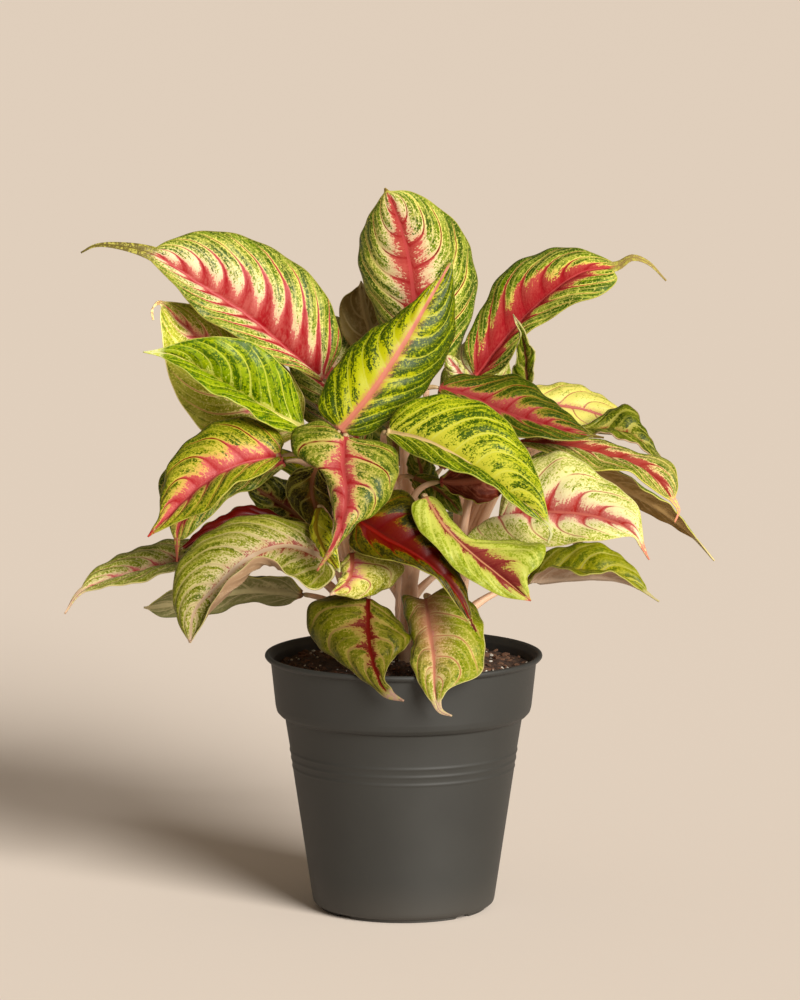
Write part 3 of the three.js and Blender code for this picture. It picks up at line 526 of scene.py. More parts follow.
KINDS = {
    "crimson": kind_look(
        rib="CD504C", flush="B6242A", flush_light="E67468", pale="FCE2AA", pale_outer="F0E06E",
        green="7A901C", green_dark="385406", vein="8C2824", edge="C8BA54", tip="8C6E38", under="B0AA68",
        under_light="DAC892", rib_width=1.5, flush_reach=0.5, flush_taper=0.5, green_bias=0.38,
        green_slope=0.42, speckle=0.9, streak=0.35, vein_strength=1.0,
    ),
    "lime": kind_look(
        rib="E4A076", flush="D6C43C", flush_light="DACE3C", pale="DCD424", pale_outer="D0CE24",
        green="7C920A", green_dark="3C5C04", vein="E4DE60", edge="CECC5A", tip="DED696", under="A49A54",
        under_light="D4B884", rib_width=1.8, flush_reach=0.02, flush_taper=0.6, green_bias=0.44,
        green_slope=0.25, speckle=0.6, streak=0.55, vein_strength=0.7,
    ),
    "cream": kind_look(
        rib="CE6E5C", flush="B82C2E", flush_light="E69282", pale="FDECB8",
        pale_outer="F6E88C", green="A8B02E", green_dark="70841A", vein="B8604C", edge="F2DE92",
        tip="E2BA96", under="B09064", under_light="E2BC96", rib_width=1.5, flush_reach=0.24,
        flush_taper=0.5, green_bias=0.32, green_slope=0.3, speckle=0.9, streak=0.4, vein_strength=0.8,
        deep=-0.08,
    ),
    "forest": kind_look(
        rib="AA704A", flush="8C2E22", flush_light="A6603A", pale="C4B654", pale_outer="ACA63C",
        green="687C14", green_dark="3C5406", vein="BEB45C", edge="C4B860", tip="C8B482", under="98965C",
        under_light="C8BA82", rib_width=1.5, flush_reach=0.12, flush_taper=0.5, green_bias=0.6,
        green_slope=0.1, speckle=0.5, streak=0.4, vein_strength=0.8,
    ),
}

# What single leaves have different from their kind. Some colours and lightness values here hold painted
# light and shade, as noted at those leaves.
LOOKS = {
    "upper_left": dict(
        lightness=1.04, flush_light="EC8676", pale="FEE8B4", flush_reach=0.95, flush_taper=0.8,
        flame=0.6, green_bias=0.33, tip="786832",
    ),
    "top": dict(
        lightness=1.1, flush="A62428", flush_light="D66456", flush_reach=0.25, flush_taper=0.2,
        flame=0.3, green_bias=0.43, green_slope=0.38,
    ),
    "upper_right": dict(
        lightness=1.25, flush_reach=0.7, flush_taper=0.7, flame=0.2, flush="A4242A",
        flush_light="CE5C50", green_bias=0.5, pale="F0E064", tip="AA9054",
    ),
    "left_red": dict(
        lightness=1.05, flush_reach=0.36, flush_taper=0.1, flame=0.35, green_bias=0.38, green_slope=0.4,
        speckle=1.1, pale="ECC85C", pale_outer="CCBE3E", green="8C9218", green_dark="3C560C",
        tip="C44238",
    ),
    "left_red_low": dict(flush_reach=0.5, pale="E4BE4C", tip="CE6E56"),
    "left_strip": dict(lightness=0.7, flush_reach=1.6, flush="7A1E14", flush_light="922C1C", flame=0.1),
    "center_droop": dict(
        lightness=0.84, flush_reach=0.24, flush_taper=-0.3, flame=0.4, green_bias=0.5, green_slope=0.25,
        pale="ECD274", pale_outer="DCCC5A", green="78881C", green_dark="3A560A", tip="CE785C",
    ),
    # center_red lies under other leaves: its dark colours and low lightness are partly painted shade.
    "center_red": dict(
        lightness=0.88, flush_reach=0.5, flush_taper=0.3, flush="701A14", flush_light="7C2C1A",
        flame=0.3, pale="966818", pale_outer="847014", green="5C560C", green_dark="303006",
        tip="78281A", green_bias=0.5, rib="8C221A", vein_strength=0.4,
    ),
    "right_dark_red": dict(
        flush_reach=0.3, flush_taper=-0.1, flame=0.35, green_bias=0.54, pale="CEB042",
        pale_outer="B0A438", green="5E7012", green_dark="3C5206", deep=0.06, lightness=0.76,
    ),
    "right_long": dict(
        lightness=1.7, flush="882C28", flush_light="9E4C3E", rib="A04236", vein="823228",
        flush_reach=0.36, flush_taper=0.1, flame=0.3, green_bias=0.48, pale="E0C280",
        pale_outer="C4B060", green="6E7624", green_dark="465414", tip="DC886E",
    ),
    "right_underside": dict(under="7A3222", under_light="B8684E"),
    "front_high": dict(
        lightness=0.88, rib="E88A6C", rib_width=2.0, haze=5.0, streak=0.7, speckle=0.7, green_bias=0.48,
        green_slope=0.34, green_dark="3C5204", green="6E8008", pale="D4CE1E", pale_outer="C4C61E",
        side_green=0.12, deep=0.12, vein_strength=0.45, tip="788C28",
    ),
    "left_bright": dict(
        lightness=1.2, rib="E8DA7C", rib_width=2.2, green="849A06", green_dark="385A02", pale="EAE66E",
        green_bias=0.58, green_slope=0.5, streak=0.5, speckle=0.5, deep=-0.04, vein_strength=0.45,
        tip="E0DC96",
    ),
    # right_yellow: its greener lower half is painted shade.
    "right_yellow": dict(
        rib="E8C482", rib_width=2.0, green_bias=0.58, green_slope=0.2, streak=0.6, speckle=1.0,
        green_dark="385402", pale="E2D846", pale_outer="D0CE2E", deep=0.06, side_green=0.1,
        vein_strength=0.75,
    ),
    "lower_yellow": dict(
        flush="80282A", flush_light="A65040", flush_reach=0.12, flush_taper=-2.4, flame=0.3,
        rib="CE8C60", rib_width=1.0, green_bias=0.36, green="A0AA28", green_dark="78881A",
        pale="D4D05A", pale_outer="D0D05C", tip="D66E54", deep=-0.1, vein_strength=0.5,
    ),
    "small_strip": dict(green_bias=0.34, pale="BEB032", green="787410", edge="E2CE78", rib="96781E"),
    # left_back lies in the shade of upper_left: its high lightness is painted light.
    "left_back": dict(
        lightness=2.1, green_bias=0.52, green="909028", green_dark="606818", pale="E4CE88",
        pale_outer="CCC064", vein="B46E50", flush_reach=0.3, flush="AA3228", tip="B48C60",
    ),
    "left_low_big": dict(
        lightness=0.86, flush="96342C", flush_light="BA6850", flush_taper=1.4, green_bias=0.55,
        green_slope=0.1, green="8E921E", green_dark="606812", pale="E4CE8E", pale_outer="C6BA54",
        vein="D2B882", rib="D0AC86", rib_width=1.4, flush_reach=0.16, speckle=1.0, deep=-0.03,
        under="BE9670", under_light="E2BE96",
    ),
    "left_low_light": dict(
        lightness=1.2, green_bias=0.5, green="8E9224", green_dark="687016", pale="E8D294", rib="A03C38",
        rib_width=1.2,
    ),
    "small_center": dict(
        green_bias=0.4, green="A8A41E", green_dark="787C12", pale="ECD868", rib="C4684C",
    ),
    "right_pale": dict(green_bias=0.18, pale="FAEA78", pale_outer="F2E06E", flush_reach=0.08),
    "right_cream": dict(
        lightness=1.15, flush_reach=0.36, flush_taper=0.3, flame=0.4, green_bias=0.3, green_slope=0.28,
        flush="B42624", pale="FEEEB4", pale_outer="FAEA96", tip="E08C6E",
    ),
    "rim_right": dict(
        lightness=0.92, rib="D68868", rib_width=1.6, haze=17.0, flush_reach=0.02, green_bias=0.54,
        green="969C14", green_dark="60760A", pale="F2D88C", pale_outer="E6D06A", vein="C87856",
    ),
    "rim_left": dict(
        lightness=0.5, flush="7A1A18", flush_light="A0402E", flush_reach=0.15, flush_taper=-0.2,
        flame=0.5, rib="8C241E", vein="C4965A", green="8C8A0C", green_dark="585C04", pale="D8BA5A",
        pale_outer="C8B24C", green_bias=0.6, deep=-0.04, edge="E4CE78", tip="E8B496",
        vein_strength=0.75,
    ),
    "left_dark": dict(flush_reach=0.3, flush="781A14", green="505410", green_dark="222C06"),
    # center_dark lies deep behind other leaves: its very dark colours are partly painted shade.
    "center_dark": dict(green="50460C", green_dark="282606", pale="826424"),
    "right_folded": dict(green="687018", green_dark="3A480C", edge="E0B48C", rib="968C32"),
    "right_low": dict(
        under="C8A07E", under_light="E4C4A4", lightness=1.1, green="8E8E0E", green_dark="606C08",
        green_bias=0.55, pale="C4B82E", rib="CEBE5A",
    ),
    "right_narrow": dict(lightness=1.6, under="967642", under_light="BA9660"),
    "left_lowest": dict(lightness=1.35, under="7E7A4A", under_light="BEAE7C"),
    # back_brown faces away into shade: its raised lightness is painted light, for the light its edges
    # catch.
    "back_brown": dict(lightness=1.5, under="7E683A", under_light="AA9262"),
    "young": dict(green="70801A", green_dark="46580C", edge="E6D68C"),
}


# ---- shader graphs ----------------------------------------------------------------------------------
class Field:
    """A shader value that can be reckoned with like a number."""

    def __init__(self, graph, socket):
        self.graph = graph
        self.socket = socket

    def __add__(self, other):
        return self.graph.math("ADD", self, other)

    def __sub__(self, other):
        return self.graph.math("SUBTRACT", self, other)

    def __rsub__(self, other):
        return self.graph.math("SUBTRACT", other, self)

    def __mul__(self, other):
        return self.graph.math("MULTIPLY", self, other)

    def __truediv__(self, other):
        return self.graph.math("DIVIDE", self, other)

    __radd__ = __add__
    __rmul__ = __mul__


class Graph:
    """Adds nodes to a shader tree; fields, sockets and plain values mix freely as inputs."""

    MIX_INPUTS, MIX_OUTPUT = (0, 6, 7), 2  # a Mix node's amount, its two colours and its result

    def __init__(self, tree):
        self.tree = tree

    def node(self, kind, **settings):
        made = self.tree.nodes.new(kind)
        for name, value in settings.items():
            setattr(made, name, value)
        return made

    def feed(self, socket, value):
        if isinstance(value, Field):
            self.tree.links.new(value.socket, socket)
        elif isinstance(value, bpy.types.NodeSocket):
            self.tree.links.new(value, socket)
        else:
            socket.default_value = value

    def math(self, operation, *values):
        made = self.node("ShaderNodeMath", operation=operation)
        for socket, value in zip(made.inputs, values):
            self.feed(socket, value)
        return Field(self, made.outputs[0])

    def combine(self, x, y, z):
        made = self.node("ShaderNodeCombineXYZ")
        for socket, value in zip(made.inputs, (x, y, z)):
            self.feed(socket, value)
        return Field(self, made.outputs[0])

    def separate(self, vector):
        made = self.node("ShaderNodeSeparateXYZ")
        self.feed(made.inputs[0], vector)
        return [Field(self, output) for output in made.outputs]

    def attribute(self, name):
        made = self.node("ShaderNodeAttribute", attribute_name=name)
        return made.outputs["Vector"]

    def smooth(self, low, high, value):
        """0 below low, 1 above high, and a soft step between them."""
        made = self.node("ShaderNodeMapRange", interpolation_type="SMOOTHSTEP")
        self.feed(made.inputs["Value"], value)
        self.feed(made.inputs["From Min"], low)
        self.feed(made.inputs["From Max"], high)
        return Field(self, made.outputs["Result"])

    def noise(self, vector, scale, detail=2.0, roughness=0.5):
        """Noise about 0, mostly between -0.3 and 0.3."""
        made = self.node("ShaderNodeTexNoise")
        self.feed(made.inputs["Vector"], vector)
        self.feed(made.inputs["Scale"], scale)
        self.feed(made.inputs["Detail"], detail)
        self.feed(made.inputs["Roughness"], roughness)
        return Field(self, made.outputs[0]) - 0.5

    def scaled(self, vector, factor):
        made = self.node("ShaderNodeVectorMath", operation="SCALE")
        self.feed(made.inputs[0], vector)
        self.feed(made.inputs["Scale"], factor)
        return Field(self, made.outputs[0])

    def mix(self, amount, one, other):
        """Colour one where the amount is 0 and the other where it is 1."""
        made = self.node("ShaderNodeMix", data_type="RGBA")
        for key, value in zip(self.MIX_INPUTS, (amount, one, other)):
            if isinstance(value, tuple):
                value = (*value[:3], 1.0)
            self.feed(made.inputs[key], value)
        return Field(self, made.outputs[self.MIX_OUTPUT])


def new_material(name):
    """A material with only its Principled shader, and the graph that feeds it."""
    material = bpy.data.materials.new(name)
    material.use_nodes = True
    shader = material.node_tree.nodes["Principled BSDF"]
    return material, Graph(material.node_tree), shader


def new_group(name, inputs, outputs):
    """An empty node group with the given sockets; returns it with its graph and both ends."""
    group = bpy.data.node_groups.new(name, "ShaderNodeTree")
    for label, kind in inputs.items():
        group.interface.new_socket(label, in_out="INPUT", socket_type=kind)
    for label, kind in outputs.items():
        group.interface.new_socket(label, in_out="OUTPUT", socket_type=kind)
    graph = Graph(group)
    start = graph.node("NodeGroupInput")
    end = graph.node("NodeGroupOutput")
    given = {label: Field(graph, start.outputs[label]) for label in inputs}
    return group, graph, given, end


LEAF_SOCKETS = {
    **{key: "NodeSocketColor" for key in LEAF_COLOURS},
    **{key: "NodeSocketFloat" for key in (*LEAF_NUMBERS, "seed")},
}
LEAF_OUTPUTS = {"Color": "NodeSocketColor", "Roughness": "NodeSocketFloat", "Height": "NodeSocketFloat"}
SPECKLES_PER_METRE = 850
MOTTLES_PER_METRE = 430
DOTS_PER_METRE = 800
GRAIN_PER_METRE = 2300
STALK_CLOUDS_PER_METRE = 60
POT_CLOUDS_PER_METRE = 22
POT_GRAIN_PER_METRE = 3200
STALK_BLUSH, POT_DUST = linear("8E614F"), linear("73695E")
EARTHY_UNDER, EARTHY_FULLY = (SOIL_TOP + 19) * MM, (SOIL_TOP - 1) * MM  # heights on a stalk
DUSTY_UNDER = 0.03  # height on the pot, in metres


def object_place(graph):
    return graph.node("ShaderNodeTexCoord").outputs["Object"]


def dress(graph, shader, colour, roughness, height, strength, depth):
    """Feeds a shader; height is the bump's, with its strength and its depth in metres."""
    graph.feed(shader.inputs["Base Color"], colour)
    graph.feed(shader.inputs["Roughness"], roughness)
    bump = graph.node("ShaderNodeBump")
    bump.inputs["Strength"].default_value = strength
    bump.inputs["Distance"].default_value = depth
    graph.feed(bump.inputs["Height"], height)
    graph.feed(shader.inputs["Normal"], bump.outputs["Normal"])


def leaf_coordinates(graph):
    """A leaf's share along, share across, side, vein phase, and what follows from the phase."""
    along, across, phase = graph.separate(graph.attribute("leaf"))
    share = graph.math("ABSOLUTE", across)
    side = graph.math("SIGN", across)
    fraction = graph.math("FRACT", phase)
    from_vein = graph.math("MINIMUM", fraction, 1 - fraction)
    return along, share, side, phase, fraction, from_vein


def leaf_noises(graph, seed, share, side, phase):
    """What both faces of a leaf share: streaks along the veins, mottles and a fine grain."""
    place = object_place(graph)
    streak = graph.noise(graph.combine(phase * 1.5, share * 1.7, seed + side * 7), 1.7, 3.0)
    mottle = graph.noise(place, MOTTLES_PER_METRE, 3.0, 0.65)
    grain = graph.noise(place, GRAIN_PER_METRE, 1.0)
    return place, streak, mottle, grain


def leaf_top_group():
    """The upper face: flames of red along the midrib, a pale ground and speckled green on it."""
    group, graph, given, end = new_group("leaf_top", LEAF_SOCKETS, LEAF_OUTPUTS)
    along, share, side, phase, fraction, from_vein = leaf_coordinates(graph)
    _, from_rib, from_margin = graph.separate(graph.attribute("leaf_mm"))
    seed = given["seed"]
    place, streak, mottle, grain = leaf_noises(graph, seed, share, side, phase)

    speckle = graph.noise(place, SPECKLES_PER_METRE, 3.0, 0.7)
    ragged = graph.noise(graph.combine(phase * 7, share * 9, seed + side * 3), 1.6, 4.0, 0.65)
    fleck = graph.noise(graph.combine(phase * 12, share * 5, seed + side * 9), 1.6, 3.0, 0.6)
    tone = graph.noise(graph.combine(phase * 0.8, share * 2, seed + side * 5), 1.1, 2.0)
    from_middle = graph.math("ABSOLUTE", fraction - 0.5)
    strong = given["vein_strength"] * graph.smooth(0.98, 0.8, share) * graph.smooth(0.0, 0.12, share)

    cut = 1 - given["flame"] * (graph.smooth(0.0, 0.4, from_vein) + 0.5 - fraction)
    reach = given["flush_reach"] * (1 - given["flush_taper"] * along) * cut
    branch = given["flush_reach"] * 0.3 * graph.smooth(0.14, 0.0, from_vein)
    inside = reach * (1 + tone * 1.8) + branch - share
    inside = inside + ragged * 0.35 + fleck * 0.3 + speckle * 0.35
    flushed = graph.smooth(0.0, 0.03, inside)
    blush = graph.smooth(-0.2, 0.02, inside)

    ground = given["green_bias"] + given["green_slope"] * share
    ground = ground + given["speckle"] * (speckle * 1.6 + fleck)
    ground = ground + given["streak"] * (streak * 1.6 + mottle * 0.8) + ragged * 0.3 - blush * 0.22
    # One half greener: partly the blade's own pattern, partly painted shade (right_yellow).
    ground = ground + given["side_green"] * side
    ground = ground - strong * 0.26 * graph.smooth(0.2, 0.05, from_vein)
    greened = graph.smooth(0.46, 0.52, ground)
    dark = streak * 0.9 + fleck * 0.5 + mottle * 0.6 + (ground - 0.72) * 0.4 + given["deep"]
    deepened = graph.smooth(-0.06, 0.12, dark) * 0.9

    pale = graph.mix(graph.smooth(0.15, 0.8, share), given["pale"], given["pale_outer"])
    pale = graph.mix(blush * 0.4, pale, given["flush_light"])
    fresh = graph.smooth(-0.25, 0.2, tone + speckle * 0.5)
    green = graph.mix(fresh, given["pale_outer"], given["green"])
    green = graph.mix(0.7, green, given["green"])
    green = graph.mix(deepened, green, given["green_dark"])
    dotted = graph.smooth(0.08, 0.15, graph.noise(place, DOTS_PER_METRE, 2.0) + streak * 0.15)
    green = graph.mix(dotted * 0.55, green, given["pale_outer"])
    colour = graph.mix(greened, pale, green)
    haze_edge = given["haze"] + 0.01
    haze = graph.smooth(haze_edge, haze_edge * 0.1, from_rib + ragged * 9)
    haze = haze * graph.smooth(0.95, 0.25, along)
    colour = graph.mix(haze * 0.8, colour, given["rib"])
    wide = 0.03 + 0.08 * given["vein_strength"]
    outline = strong * graph.smooth(wide, wide * 0.6, from_vein + ragged * 0.1 + speckle * 0.1)
    colour = graph.mix(outline * 0.9, colour, pale)
    fine = strong * graph.smooth(0.06, 0.03, from_middle + ragged * 0.1)
    colour = graph.mix(fine * 0.4, colour, pale)
    line = strong * graph.smooth(0.05, 0.025, from_vein + ragged * 0.05)
    line = line * graph.smooth(-0.3, 0.0, streak + fleck * 0.5)
    colour = graph.mix(line, colour, given["vein"])

    lighter = graph.smooth(0.3, 0.0, inside) * 0.55 + graph.smooth(-0.15, 0.3, tone + ragged) * 0.45
    red = graph.mix(lighter, given["flush"], given["flush_light"])
    red = graph.mix(graph.smooth(0.06, 0.02, from_vein) * 0.5, red, given["flush"])
    colour = graph.mix(flushed, colour, red)

    narrowed = given["rib_width"] * (1.1 - 0.75 * along)
    ribbed = graph.smooth(1.0, 0.7, from_rib / narrowed + ragged * 0.2)
    colour = graph.mix(ribbed, colour, given["rib"])
    edged = graph.smooth(0.7, 0.35, from_margin + speckle * 0.5)
    colour = graph.mix(edged * 0.85, colour, given["edge"])
    colour = graph.mix(graph.smooth(0.03, 0.01, along) * 0.8, colour, given["rib"])
    tipped = graph.smooth(0.97, 1.02, along + speckle * 0.06)
    tip = graph.mix(graph.smooth(0.0, 0.1, mottle + speckle), given["tip"], given["edge"])
    colour = graph.mix(tipped, colour, tip)

    # Scaled by the leaf's lightness, which partly holds painted light and shade.
    graph.feed(end.inputs["Color"], graph.scaled(colour, given["lightness"]))
    graph.feed(end.inputs["Roughness"], 0.4 + speckle * 0.25 + grain * 0.1)
    graph.feed(end.inputs["Height"], speckle * 0.5 + grain * 0.35 - line * 0.3)
    return group


def leaf_under_group():
    """The underside: dull, with pale veins and soft cloudy patches."""
    group, graph, given, end = new_group("leaf_under", LEAF_SOCKETS, LEAF_OUTPUTS)
    along, share, side, phase, _, from_vein = leaf_coordinates(graph)
    _, from_rib, _ = graph.separate(graph.attribute("leaf_mm"))
    place, streak, mottle, grain = leaf_noises(graph, given["seed"], share, side, phase)

    speckle = graph.noise(place, SPECKLES_PER_METRE, 2.0, 0.62)
    cloudy = graph.smooth(-0.2, 0.25, streak + mottle * 0.7 + speckle * 0.3 - 0.2 * share)
    colour = graph.mix(cloudy, given["under"], given["under_light"])
    line = graph.smooth(0.08, 0.03, from_vein + mottle * 0.05) * graph.smooth(0.98, 0.7, share)
    colour = graph.mix(line * 0.75, colour, given["under_light"])
    colour = graph.mix(graph.smooth(2.4, 1.4, from_rib) * 0.8, colour, given["under_light"])
    colour = graph.mix(graph.smooth(0.04, 0.01, along) * 0.8, colour, given["rib"])
    colour = graph.mix(graph.smooth(0.97, 1.01, along), colour, given["tip"])

    # Scaled by the leaf's lightness, which partly holds painted light and shade.
    graph.feed(end.inputs["Color"], graph.scaled(colour, given["lightness"]))
    graph.feed(end.inputs["Roughness"], 0.55 + speckle * 0.2)
    graph.feed(end.inputs["Height"], speckle * 0.4 + grain * 0.3 + line * 0.4)
    return group


def leaf_material(name, face, look, seed):
    """One face of one leaf, with the look's colours and numbers."""
    material, graph, shader = new_material(f"{name}_{face}")
    group = bpy.data.node_groups.get(f"leaf_{face}")
    if group is None:
        group = leaf_top_group() if face == "top" else leaf_under_group()
    pattern = graph.node("ShaderNodeGroup", node_tree=group)
    for key in LEAF_COLOURS:
        pattern.inputs[key].default_value = (*look[key], 1.0)
    for key in LEAF_NUMBERS:
        pattern.inputs[key].default_value = look[key]
    pattern.inputs["seed"].default_value = seed
    dress(graph, shader, *(pattern.outputs[label] for label in LEAF_OUTPUTS), 0.35, 0.0004)
    shader.inputs["Specular IOR Level"].default_value = 0.15
    return material


def stalk_material(settings):
    """Pale pink, with fine streaks along the stalk, an earthy foot, and a duller neck that is partly
    painted shade under the blade.
    """
    material, graph, shader = new_material("stalk_skin")
    along, around, seed = graph.separate(graph.attribute("stalk"))
    place = object_place(graph)
    streak = graph.noise(graph.combine(along * 2, around * 9, seed), 3.0, 3.0, 0.6)
    cloud = graph.noise(place, STALK_CLOUDS_PER_METRE, 2.0)
    streaked = graph.smooth(-0.25, 0.25, streak)
    colour = graph.mix(streaked, tuple(settings.colour), tuple(settings.streak))
    colour = graph.mix(graph.smooth(0.02, 0.3, cloud) * 0.5, colour, STALK_BLUSH)
    # The neck darkens towards the blade: partly a greener colour, partly painted shade that hides the
    # stalk's lit end under the blade.
    neck_tint_and_shade = graph.smooth(0.86, 0.96, along)
    colour = graph.mix(neck_tint_and_shade * 0.7, colour, tuple(settings.neck))
    _, _, height = graph.separate(place)
    earthy = graph.smooth(EARTHY_UNDER, EARTHY_FULLY, height + cloud * 0.02)
    colour = graph.mix(earthy * 0.75, colour, tuple(settings.foot))
    dress(graph, shader, colour, 0.45 + cloud * 0.2, streak, 0.3, 0.0006)
    return material


def pot_material(settings):
    """Matte moulded plastic, a little uneven in tone, with a fine grain and faint dust low down."""
    material, graph, shader = new_material("pot_plastic")
    place = object_place(graph)
    cloud = graph.noise(place, POT_CLOUDS_PER_METRE, 3.0)
    grain = graph.noise(place, POT_GRAIN_PER_METRE, 2.0, 0.6)
    _, _, height = graph.separate(place)
    base = tuple(settings.colour)
    lighter = tuple(1.25 * c for c in base)
    colour = graph.mix(graph.smooth(-0.2, 0.3, cloud), base, lighter)
    dusty = graph.smooth(DUSTY_UNDER, 0.0, height + cloud * 0.02)
    colour = graph.mix(dusty * 0.1, colour, POT_DUST)
    roughness = settings.roughness + cloud * 0.12 + grain * 0.08
    dress(graph, shader, colour, roughness, grain, 0.25, 0.00025)
    return material


def crumb_material(name, dark, light, scale, rough, depth):
    """Earth, bark or mineral grain: two tones, broken up by noise, and a rough surface."""
    material, graph, shader = new_material(name)
    place = object_place(graph)
    patch = graph.noise(place, scale, 4.0, 0.65)
    fine = graph.noise(place, scale * 9, 3.0, 0.6)
    colour = graph.mix(graph.smooth(-0.2, 0.22, patch + fine * 0.4), dark, light)
    dress(graph, shader, colour, rough, patch + fine * 0.6, 0.8, depth)
    return material


def stage_material(settings):
    """Plain pale paper."""
    material, _, shader = new_material("stage_paper")
    shader.inputs["Base Color"].default_value = (*settings.colour, 1.0)
    shader.inputs["Roughness"].default_value = 0.9
    shader.inputs["Specular IOR Level"].default_value = 0.1
    return material


# ---- meshes -----------------------------------------------------------------------------------------
def finish_piece(name, bm, materials, nodes=()):
    """Makes a bmesh a shown piece that rides on the object and stands for the given nodes."""
    mesh = bpy.data.meshes.new(name)
    bm.to_mesh(mesh)
    bm.free()
    mesh.polygons.foreach_set("use_smooth", [True] * len(mesh.polygons))
    for material in materials:
        mesh.materials.append(material)
    piece = bpy.data.objects.new(name, mesh)
    bpy.context.scene.collection.objects.link(piece)
    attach(piece, "root")
    if nodes:
        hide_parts(*nodes)
    return piece


def turned(profile, segments):
    """A profile of (radius, height) points turned round the Z axis into a closed skin."""
    bm = bmesh.new()
    verts = [bm.verts.new((radius * MM, 0, height * MM)) for radius, height in profile]
    edges = [bm.edges.new(pair) for pair in zip(verts, verts[1:])]
    turn = {"cent": (0, 0, 0), "axis": (0, 0, 1), "angle": 2 * math.pi, "use_merge": True}
    bmesh.ops.spin(bm, geom=verts + edges, steps=segments, **turn)
    bmesh.ops.remove_doubles(bm, verts=bm.verts, dist=1e-6)
    bmesh.ops.recalc_face_normals(bm, faces=bm.faces)
    return bm


def rounded(profile, radius, steps=3):
    """A profile with each inner corner replaced by a short arc-like curve of steps + 1 points."""
    out = [profile[0]]
    for before, corner, after in zip(profile, profile[1:], profile[2:]):
        start = np.array(before, float) - corner
        end = np.array(after, float) - corner
        cut = min(radius, 0.45 * np.linalg.norm(start), 0.45 * np.linalg.norm(end))
        one = corner + unit(start) * cut
        two = corner + unit(end) * cut
        for k in range(steps + 1):
            t = k / steps
            out.append(tuple((1 - t) ** 2 * one + 2 * t * (1 - t) * np.array(corner) + t**2 * two))
    out.append(profile[-1])
    return out


class Curve:
    """A centripetal Catmull-Rom curve through points, read by share of its length."""

    DIVISIONS = 200
    NEAR = 0.002  # the share before and after a point that its heading is read from

    def __init__(self, points):
        points = np.array(points, float)
        first = 2 * points[0] - points[1]
        last = 2 * points[-1] - points[-2]
        self.knots = np.vstack([first, points, last])
        self.parameters = np.linspace(0, 1, self.DIVISIONS + 1)
        steps = np.linalg.norm(np.diff(self.at(self.parameters), axis=0), axis=1)
        lengths = np.concatenate([[0], np.cumsum(steps)])
        self.length = lengths[-1]
        self.shares = lengths / self.length

    def at(self, parameter):
        spans = len(self.knots) - 3
        place = np.atleast_1d(parameter) * spans
        index = np.clip(np.floor(place).astype(int), 0, spans - 1)
        t = (place - index)[:, None]
        p0, p1, p2, p3 = (self.knots[index + k] for k in range(4))
        d0, d1, d2 = (
            np.sqrt(np.linalg.norm(b - a, axis=1))[:, None] for a, b in ((p0, p1), (p1, p2), (p2, p3))
        )
        start = ((p1 - p0) / d0 - (p2 - p0) / (d0 + d1) + (p2 - p1) / d1) * d1
        end = ((p2 - p1) / d1 - (p3 - p1) / (d1 + d2) + (p3 - p2) / d2) * d1
        rise = 3 * (p2 - p1) - 2 * start - end
        fall = 2 * (p1 - p2) + start + end
        return p1 + t * (start + t * (rise + t * fall))

    def point(self, share):
        return self.at(np.interp(np.atleast_1d(share), self.shares, self.parameters))

    def heading(self, share):
        share = np.atleast_1d(share)
        ahead = self.point(np.minimum(share + self.NEAR, 1))
        return unit(ahead - self.point(np.maximum(share - self.NEAR, 0)))


def bell(distance, spread):
    """1 in the middle, falling to 0 at about twice the spread."""
    return np.exp(-((distance / spread) ** 2))


def beside(centre, axis, point, distance):
    """The point at a distance from a centre, square to an axis there, on a given point's side."""
    away = point - centre
    away = away - axis * np.dot(away, axis)
    return centre + distance * unit(away)


class Blade:
    """A leaf blade's middle surface: its midrib out to the end of the drip tip, and two margins."""

    def __init__(self, leaf):
        self.rib = Curve([seen(point) for point in leaf["rib"]])
        self.drip = leaf.get("drip", DRIP_SHARE)
        self.flare = leaf.get("flare", DRIP_HALF_WIDTH)
        self.bulge = leaf.get("bulge", [BULGE, BULGE])
        base, heading = self.rib.point(0)[0], self.rib.heading(0)[0]
        end, ending = self.rib.point(1 - self.drip)[0], self.rib.heading(1 - self.drip)[0]
        self.margins = []
        for side in ("left", "right"):
            points = [seen(point) for point in leaf[side]]
            first = beside(base, heading, points[0], NECK_HALF_WIDTH)
            last = beside(end, ending, points[-1], self.flare)
            self.margins.append(Curve([first, *points, last]))

    def half(self, u, reach, side):
        """Points of one half, and their distances from the midrib and the margin."""
        along = np.where(u < 1, u * (1 - self.drip), 1 - self.drip * (2 - u))
        middle = self.rib.point(along)
        tangent = self.rib.heading(along)
        edge = self.margins[side].point(np.minimum(u, 1))
        start = np.where(u[:, None] < 1, middle, self.rib.point(1 - self.drip))
        across = edge - start
        tip = u > 1
        taper = np.clip(2 - u[tip], 0, 1)[:, None] ** TIP_TAPER
        square = across[tip] - tangent[tip] * np.sum(across[tip] * tangent[tip], axis=1)[:, None]
        across[tip] = unit(square) * (TIP_HALF_WIDTH + (self.flare - TIP_HALF_WIDTH) * taper)
        up = np.cross(across, tangent) if side else np.cross(tangent, across)
        up = unit(up)
        width = np.linalg.norm(across, axis=1)[:, None]
        arch = 4 * reach * (1 - reach) * self.bulge[side] * width
        calm = np.sin(np.pi * np.minimum(u, 1))[:, None]
        swell = WAVE_HEIGHT * reach**2 * calm
        swell = swell * np.sin(2 * np.pi * (WAVES * u[:, None] + WAVE_SHIFT * side))
        points = middle[:, None] + across[:, None] * reach[0][None, :, None]
        points = points + up[:, None] * (arch + swell)[:, :, None]
        return points, width * reach, width * (1 - reach)

    def grid(self, u, v):
        """Points, distances from the midrib and from the margin, over a grid of u and v."""
        halves = []
        for side, part in ((0, v[v < 0]), (1, v[v >= 0])):
            halves.append(self.half(u, np.abs(part)[None, :], side))
        return [np.concatenate(pair, axis=1) for pair in zip(*halves)]


